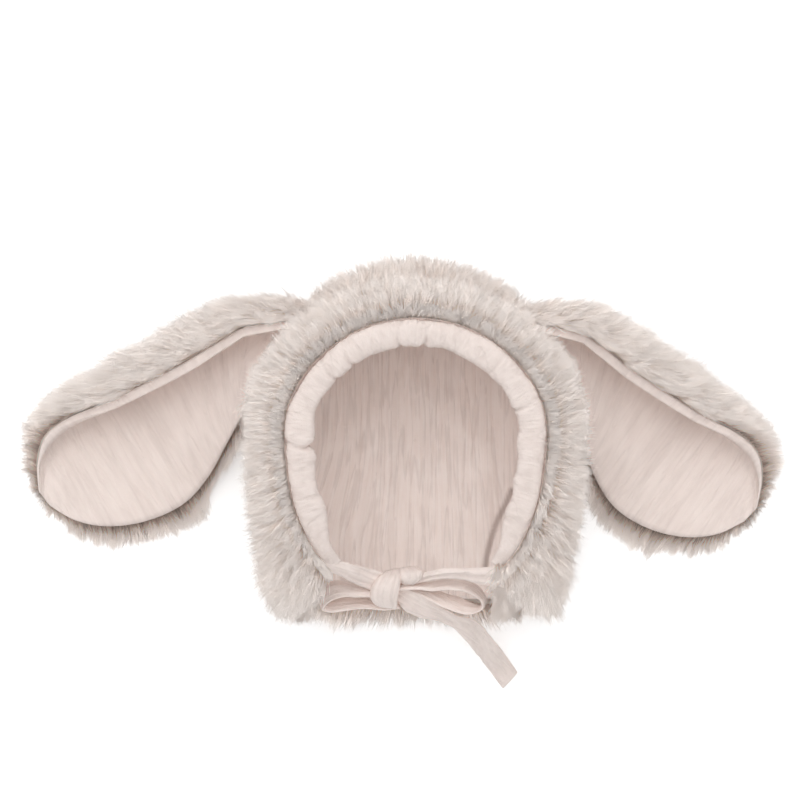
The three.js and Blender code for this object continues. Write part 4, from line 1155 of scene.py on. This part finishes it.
def make_strap(name, one, two, steps, seed, folds, crumple, sag):
    """A flat strap of gauze between two rails. folds holds (share across, height, from, to)."""
    t, run = even_shares(one, two, steps + 1)
    a, b = rail(one, t), rail(two, t)
    middle = (a + b) / 2
    tangent = unit(np.gradient(middle, axis=0))
    across = b - a
    thick = unit(np.cross(tangent, across))
    for i in range(1, len(thick)):
        if (thick[i] * thick[i - 1]).sum() < 0:
            thick[i] = -thick[i]
    if thick[:, 2].sum() < 0:
        thick = -thick
    sides = 32
    angle = (np.arange(sides) + 0.5) / sides * 2 * np.pi
    x = squared(np.cos(angle), 0.75)
    y = squared(np.sin(angle), 0.5)
    r = run[:, None]
    share = t[:, None]
    x2 = x[None] + 0 * r
    lift = sag * (1 - x2**2)
    opened = np.ones_like(lift)
    for at, height, start, stop in folds:
        shown = smoothstep(share, start - 0.06, start + 0.06)
        shown = shown * (1 - smoothstep(share, stop - 0.06, stop + 0.06))
        drift = at + 0.12 * noise(r / 14, at * 7, 0, seed + 5)
        crease = hump(x2 - drift, 0.2)
        lift = lift + height * crease * shown
        # Painted shade in the hollow of a fold that dips
        opened = opened - (0.45 if height < 0 else 0.0) * hump(x2 - drift, 0.13) * shown
    small = ridged(r / 2.1 + 0.4 * noise(r / 5, x2 * 2, 0, seed + 6), x2 * 1.6, 0, seed + 4, 2)
    lift = lift + crumple * (0.5 * noise(r / 7.5, x2 * 1.4, 0, seed + 3) + 0.16 * small)
    # Painted shade in the small crinkles
    opened = np.clip(opened - 0.16 * (1 - smoothstep(small, -0.5, 0.3)), 0, 1)
    edge_thin = 1 - 0.3 * np.abs(x2)**3
    end = np.minimum(smoothstep(run, -0.01, 0.6), smoothstep(run[-1] - run, -0.01, 0.6))[:, None]
    body = TIE_THICKNESS / 2 * y[None] * edge_thin * (0.55 + 0.45 * end)
    edge = 1 + 0.035 * noise(r / 6, np.sign(x2) * 3, 0, seed + 8)
    point = middle[:, None] + (x2 * edge / 2)[..., None] * across[:, None]
    point = point + (body + lift)[..., None] * thick[:, None]
    point[..., 2] = np.maximum(point[..., 2], 0.12)
    width = np.linalg.norm(across, axis=-1)[:, None]
    uv = np.stack([np.broadcast_to(r, lift.shape), width * x2 / 2], -1) * MM
    obj = to_object(name, point.reshape(-1, 3), tube_faces(steps + 1, sides), uv.reshape(-1, 2))
    paint_cavity(obj, opened.ravel())
    return obj, run[-1]


# The two rails of each strap: pixels across and down the picture, and height in mm
LEFT_TIE = (
    [(318, 556, 84), (345, 562, 78), (372, 569, 70), (394, 577, 65)],
    [(316, 568, 82), (338, 575, 76), (358, 585, 69), (378, 593, 63)])
RIGHT_TIE = (
    [(509, 566, 82), (480, 567.5, 79), (460, 568, 76), (443, 568.5, 73), (430, 571, 70), (420, 574, 69),
     (406, 579, 67)],
    [(509, 588, 80), (484, 585, 76), (466, 580, 73), (447, 578.5, 70), (430, 580.5, 67),
     (415, 583.5, 65), (400, 589, 63)])
RIGHT_LOOP = (
    [(396, 590, 68), (416, 589.5, 69), (431, 591, 70), (445, 590, 70), (458, 590.5, 70), (466, 592, 70),
     (474, 595.5, 69), (481, 601, 67.5), (482.5, 608, 65.5), (474, 613.5, 64.5), (460, 613.5, 64),
     (445, 608, 64), (430, 600, 64), (412, 592, 64), (398, 588, 63)],
    [(394, 584, 62), (415, 582.5, 62), (430, 582, 62), (444, 579, 61), (459, 578.5, 60),
     (473, 582.5, 59), (482, 591, 58), (486, 600, 57), (480, 606.5, 56), (470, 602.5, 56),
     (459, 596.5, 56), (450, 595, 56), (438, 591.5, 56), (424, 589, 57), (406, 586, 57)])
LEFT_LOOP = (
    [(378, 597, 66), (358, 597, 67), (344, 597, 67), (333, 600, 66), (325, 606, 65), (322.5, 610, 63),
     (330, 612.5, 61), (345, 611, 60), (362, 609, 60), (385, 610, 59), (400, 609, 58)],
    [(376, 587, 60), (355, 583, 60), (340, 580.5, 60), (326, 582, 59), (318.5, 589, 58), (318, 597, 56),
     (325, 601, 54), (342, 598, 53), (362, 597.5, 53), (385, 601, 53), (400, 602, 53)])
LONG_TAIL = (
    [(398, 586, 63), (415, 592, 63.5), (430, 600, 62), (445, 609, 58), (459, 616, 52), (472, 619, 46),
     (483, 627, 38), (497, 644, 22), (508, 658, 8), (517.5, 672, 1.2)],
    [(396, 600, 60), (406, 611, 58), (420, 617.5, 55), (437, 621, 51), (450, 626, 44), (460, 634, 36),
     (472, 648, 24), (484, 663, 10), (494, 677, 2.5), (503, 688.5, 1.2)])
SHORT_TAIL = (
    [(398, 587, 56), (384, 588, 50), (370, 589, 46), (356, 591, 43)],
    [(398, 602, 55), (384, 604, 49), (370, 606, 44), (356, 607, 41)])


def make_roll(left, right, thickness, seed, folds, rows=90, sides=64):
    """Cloth wound over the ties: a rounded wrap between a left and a right edge, folded along its length."""
    t = np.linspace(0, 1, rows)
    a, b = rail(left, t), rail(right, t)
    a2, b2 = a[:, None], b[:, None]
    angle = (np.arange(sides) / sides * 2 * np.pi)[None, :, None]
    c = squared(np.cos(angle), 0.55)
    up = squared(np.sin(angle), 0.75)
    mean = (a2 + b2) / 2
    over = np.sin(np.pi * np.clip(t * 0.94 + 0.03, 0, 1))[:, None, None]
    body = thickness * (0.28 + 0.72 * over**0.55)
    waist = 1 - 0.08 * over
    point = mean + (b2 - a2) / 2 * c * waist
    x = c[..., 0] + 0 * t[:, None]
    y = t[:, None] * 24
    small = ridged(x * 4 + 0.3 * noise(0, y / 5, 0, seed + 1), y / 8, 0, seed + 2, 2)
    relief = 0.35 * noise(x * 2.4, y / 9, np.sign(up[..., 0]) * 2, seed) + 0.22 * small
    opened = np.ones_like(relief)
    for at, depth, drift in folds:
        line = at + drift * (t[:, None] - 0.5)
        relief = relief + depth * hump(x - line, 0.17)
        # Painted shade in the hollow of a fold that dips
        opened = opened - (0.3 if depth < 0 else 0) * hump(x - line, 0.1)
    bulge = up * body / 2 + (relief[..., None] * np.clip(up, -1, 1) * (0.4 + 0.6 * over))
    point = point + bulge * UP
    uv = np.stack([y + 0 * x, x * 6], -1) * MM
    return point.reshape(-1, 3), tube_faces(rows, sides), uv.reshape(-1, 2), np.clip(opened, 0, 1).ravel()


def make_knot():
    main = make_roll(
        [(385, 571, 64), (377, 577, 66), (370, 587, 66.5), (369, 597, 64), (374, 604, 60), (380, 607, 57)],
        [(401, 568, 65), (402, 576, 68), (401, 587, 68.5), (399, 598, 66), (398, 606, 61), (397, 608.5, 57)],
        15.0, 91,
        [(-0.45, -1.0, 0.35), (0.1, -1.2, 0.3), (0.55, -0.8, -0.2), (-0.2, 0.5, 0.3), (0.35, 0.6, 0.0)])
    upper = make_roll(
        [(399, 568, 66), (398, 573, 68.5), (399, 579, 68.5), (402, 584, 66.5)],
        [(416, 566, 66), (424, 571, 68.5), (423, 578, 68.5), (414, 585, 66.5)],
        9.0, 92,
        [(-0.3, -0.7, 0.4), (0.4, -0.7, 0.3)], rows=60)
    points, faces, uv, opened, size = [], [], [], [], 0
    for roll_points, roll_faces, roll_uv, roll_opened in (main, upper):
        points.append(roll_points)
        faces.append(roll_faces + size)
        uv.append(roll_uv)
        opened.append(roll_opened)
        size += len(roll_points)
    obj = to_object("bow_wrap", np.concatenate(points), np.concatenate(faces), np.concatenate(uv))
    paint_cavity(obj, np.concatenate(opened))
    return obj


# Floor and light
FLOOR_REACH = 4000.0
FLOOR_HEIGHT = -0.3


def make_floor():
    corners = ((-1, -1), (1, -1), (1, 1), (-1, 1))
    points = np.array([[x * FLOOR_REACH, y * FLOOR_REACH, FLOOR_HEIGHT] for x, y in corners])
    obj = to_object("floor", points, np.array([[0, 1, 2, 3]]))
    material = bpy.data.materials.new("floor")
    tree = clear_tree(material)
    paint = grow(tree, "BsdfPrincipled", {
        "Base Color": (0.93, 0.93, 0.93, 1), "Roughness": 0.9, "Specular IOR Level": 0.1,
        "Emission Color": (1, 1, 1, 1), "Emission Strength": 0.3})["BSDF"]
    grow(tree, "OutputMaterial", {"Surface": paint})
    obj.data.materials.append(material)


def make_room(level, bright, towards, breadth):
    """Soft studio light from all round, brighter about one direction."""
    world = bpy.data.worlds.new("studio")
    bpy.context.scene.world = world
    tree = clear_tree(world)
    place = grow(tree, "TexCoord")["Generated"]
    direction = {0: place, 1: unit(np.array(towards))}
    match = grow(tree, "VectorMath", direction, operation="DOT_PRODUCT")["Value"]
    lobe = reckon(tree, "POWER", reckon(tree, "MAXIMUM", match, 0.0), breadth)
    strength = reckon(tree, "MULTIPLY_ADD", lobe, bright, level)
    back = grow(tree, "Background", {"Color": (1.0, 1.0, 1.0, 1), "Strength": strength})["Background"]
    grow(tree, "OutputWorld", {"Surface": back})
    world.cycles.sampling_method = "NONE"


make_floor()
make_room(level=0.66, bright=2.1, towards=(-0.12, 0.45, 1.0), breadth=7.0)
bpy.context.scene.view_settings.view_transform = "Standard"
bpy.context.scene.cycles.diffuse_bounces = 8
bpy.context.scene.cycles.transparent_max_bounces = 32


def put_cloth(obj, node, material, slot="cotton_gauze"):
    finish_piece(obj, slot, material, node)


def put_plush(made, node):
    backing, pile = made
    finish_piece(pile, "plush", PLUSH, node)
    put_cloth(backing, node, PLUSH, "plush")


put_plush(make_crown_pile(), "crown_pile")
put_plush(make_band_pile(), "band_pile")
put_cloth(
    make_crown_lining(), "crown_lining", GAUZE_LINING)
put_cloth(make_band_lining(), "band_lining", GAUZE_LINING)
rim = finish_piece(make_rim(), "cotton_gauze", GAUZE_RIM, "face_rim")
for ear in (LEFT_EAR, RIGHT_EAR):
    name, length = ear["name"], ear["length"] * MM
    put_plush(make_ear_pile(ear), name + "_pile")
    put_cloth(make_ear_lining(ear), name + "_lining", GAUZE_EAR)
put_cloth(make_knot(), "bow_knot", GAUZE_TIE)
# name, node, rails, rows, seed, folds along it, crumple, sag, held, rests on
STRAPS = (
    ("strap_left", "tie_left", LEFT_TIE, 110, 81,
     [(0.45, -0.8, 0.3, 1.1), (-0.2, 0.6, 0.2, 1.1), (-0.6, -0.5, 0.5, 1.1)],
     0.6, 0.4, "hung", ["rim_face", "bow_wrap"]),
    ("strap_right", "tie_right", RIGHT_TIE, 150, 82,
     [(0.0, -1.2, -0.1, 0.9), (0.5, 0.8, 0.0, 1.1), (-0.5, 0.7, 0.1, 1.1)],
     0.7, 0.5, "hung", ["rim_face", "bow_wrap"]),
    ("loop_right", "bow_loop_right", RIGHT_LOOP, 260, 83,
     [(0.3, -0.8, -0.1, 0.4), (-0.35, -0.6, -0.1, 0.3), (-0.1, -0.7, 0.62, 1.1)],
     0.6, 0.3, "folded", ["bow_wrap"]),
    ("loop_left", "bow_loop_left", LEFT_LOOP, 230, 84,
     [(0.2, -0.8, -0.1, 0.35), (-0.4, -0.6, -0.1, 0.25), (0.0, -0.6, 0.65, 1.1)],
     0.6, 0.3, "folded", ["bow_wrap"]),
    ("tail_long", "tie_tail_long", LONG_TAIL, 240, 85,
     [(0.2, -1.0, -0.1, 0.45), (-0.4, -0.6, -0.1, 0.35), (0.5, 0.6, 0.0, 0.6)],
     0.7, 0.3, "hung", ["bow_wrap"]),
    ("tail_short", "tie_tail_short", SHORT_TAIL, 80, 86,
     [(0.0, -0.5, -0.1, 0.4)],
     0.6, 0.3, "hung", ["bow_wrap"]),
)
for name, node, rails, steps, seed, folds, crumple, sag, held, rests_on in STRAPS:
    obj, run = make_strap(name, *rails, steps, seed, folds, crumple, sag)
    put_cloth(obj, node, GAUZE_TIE)
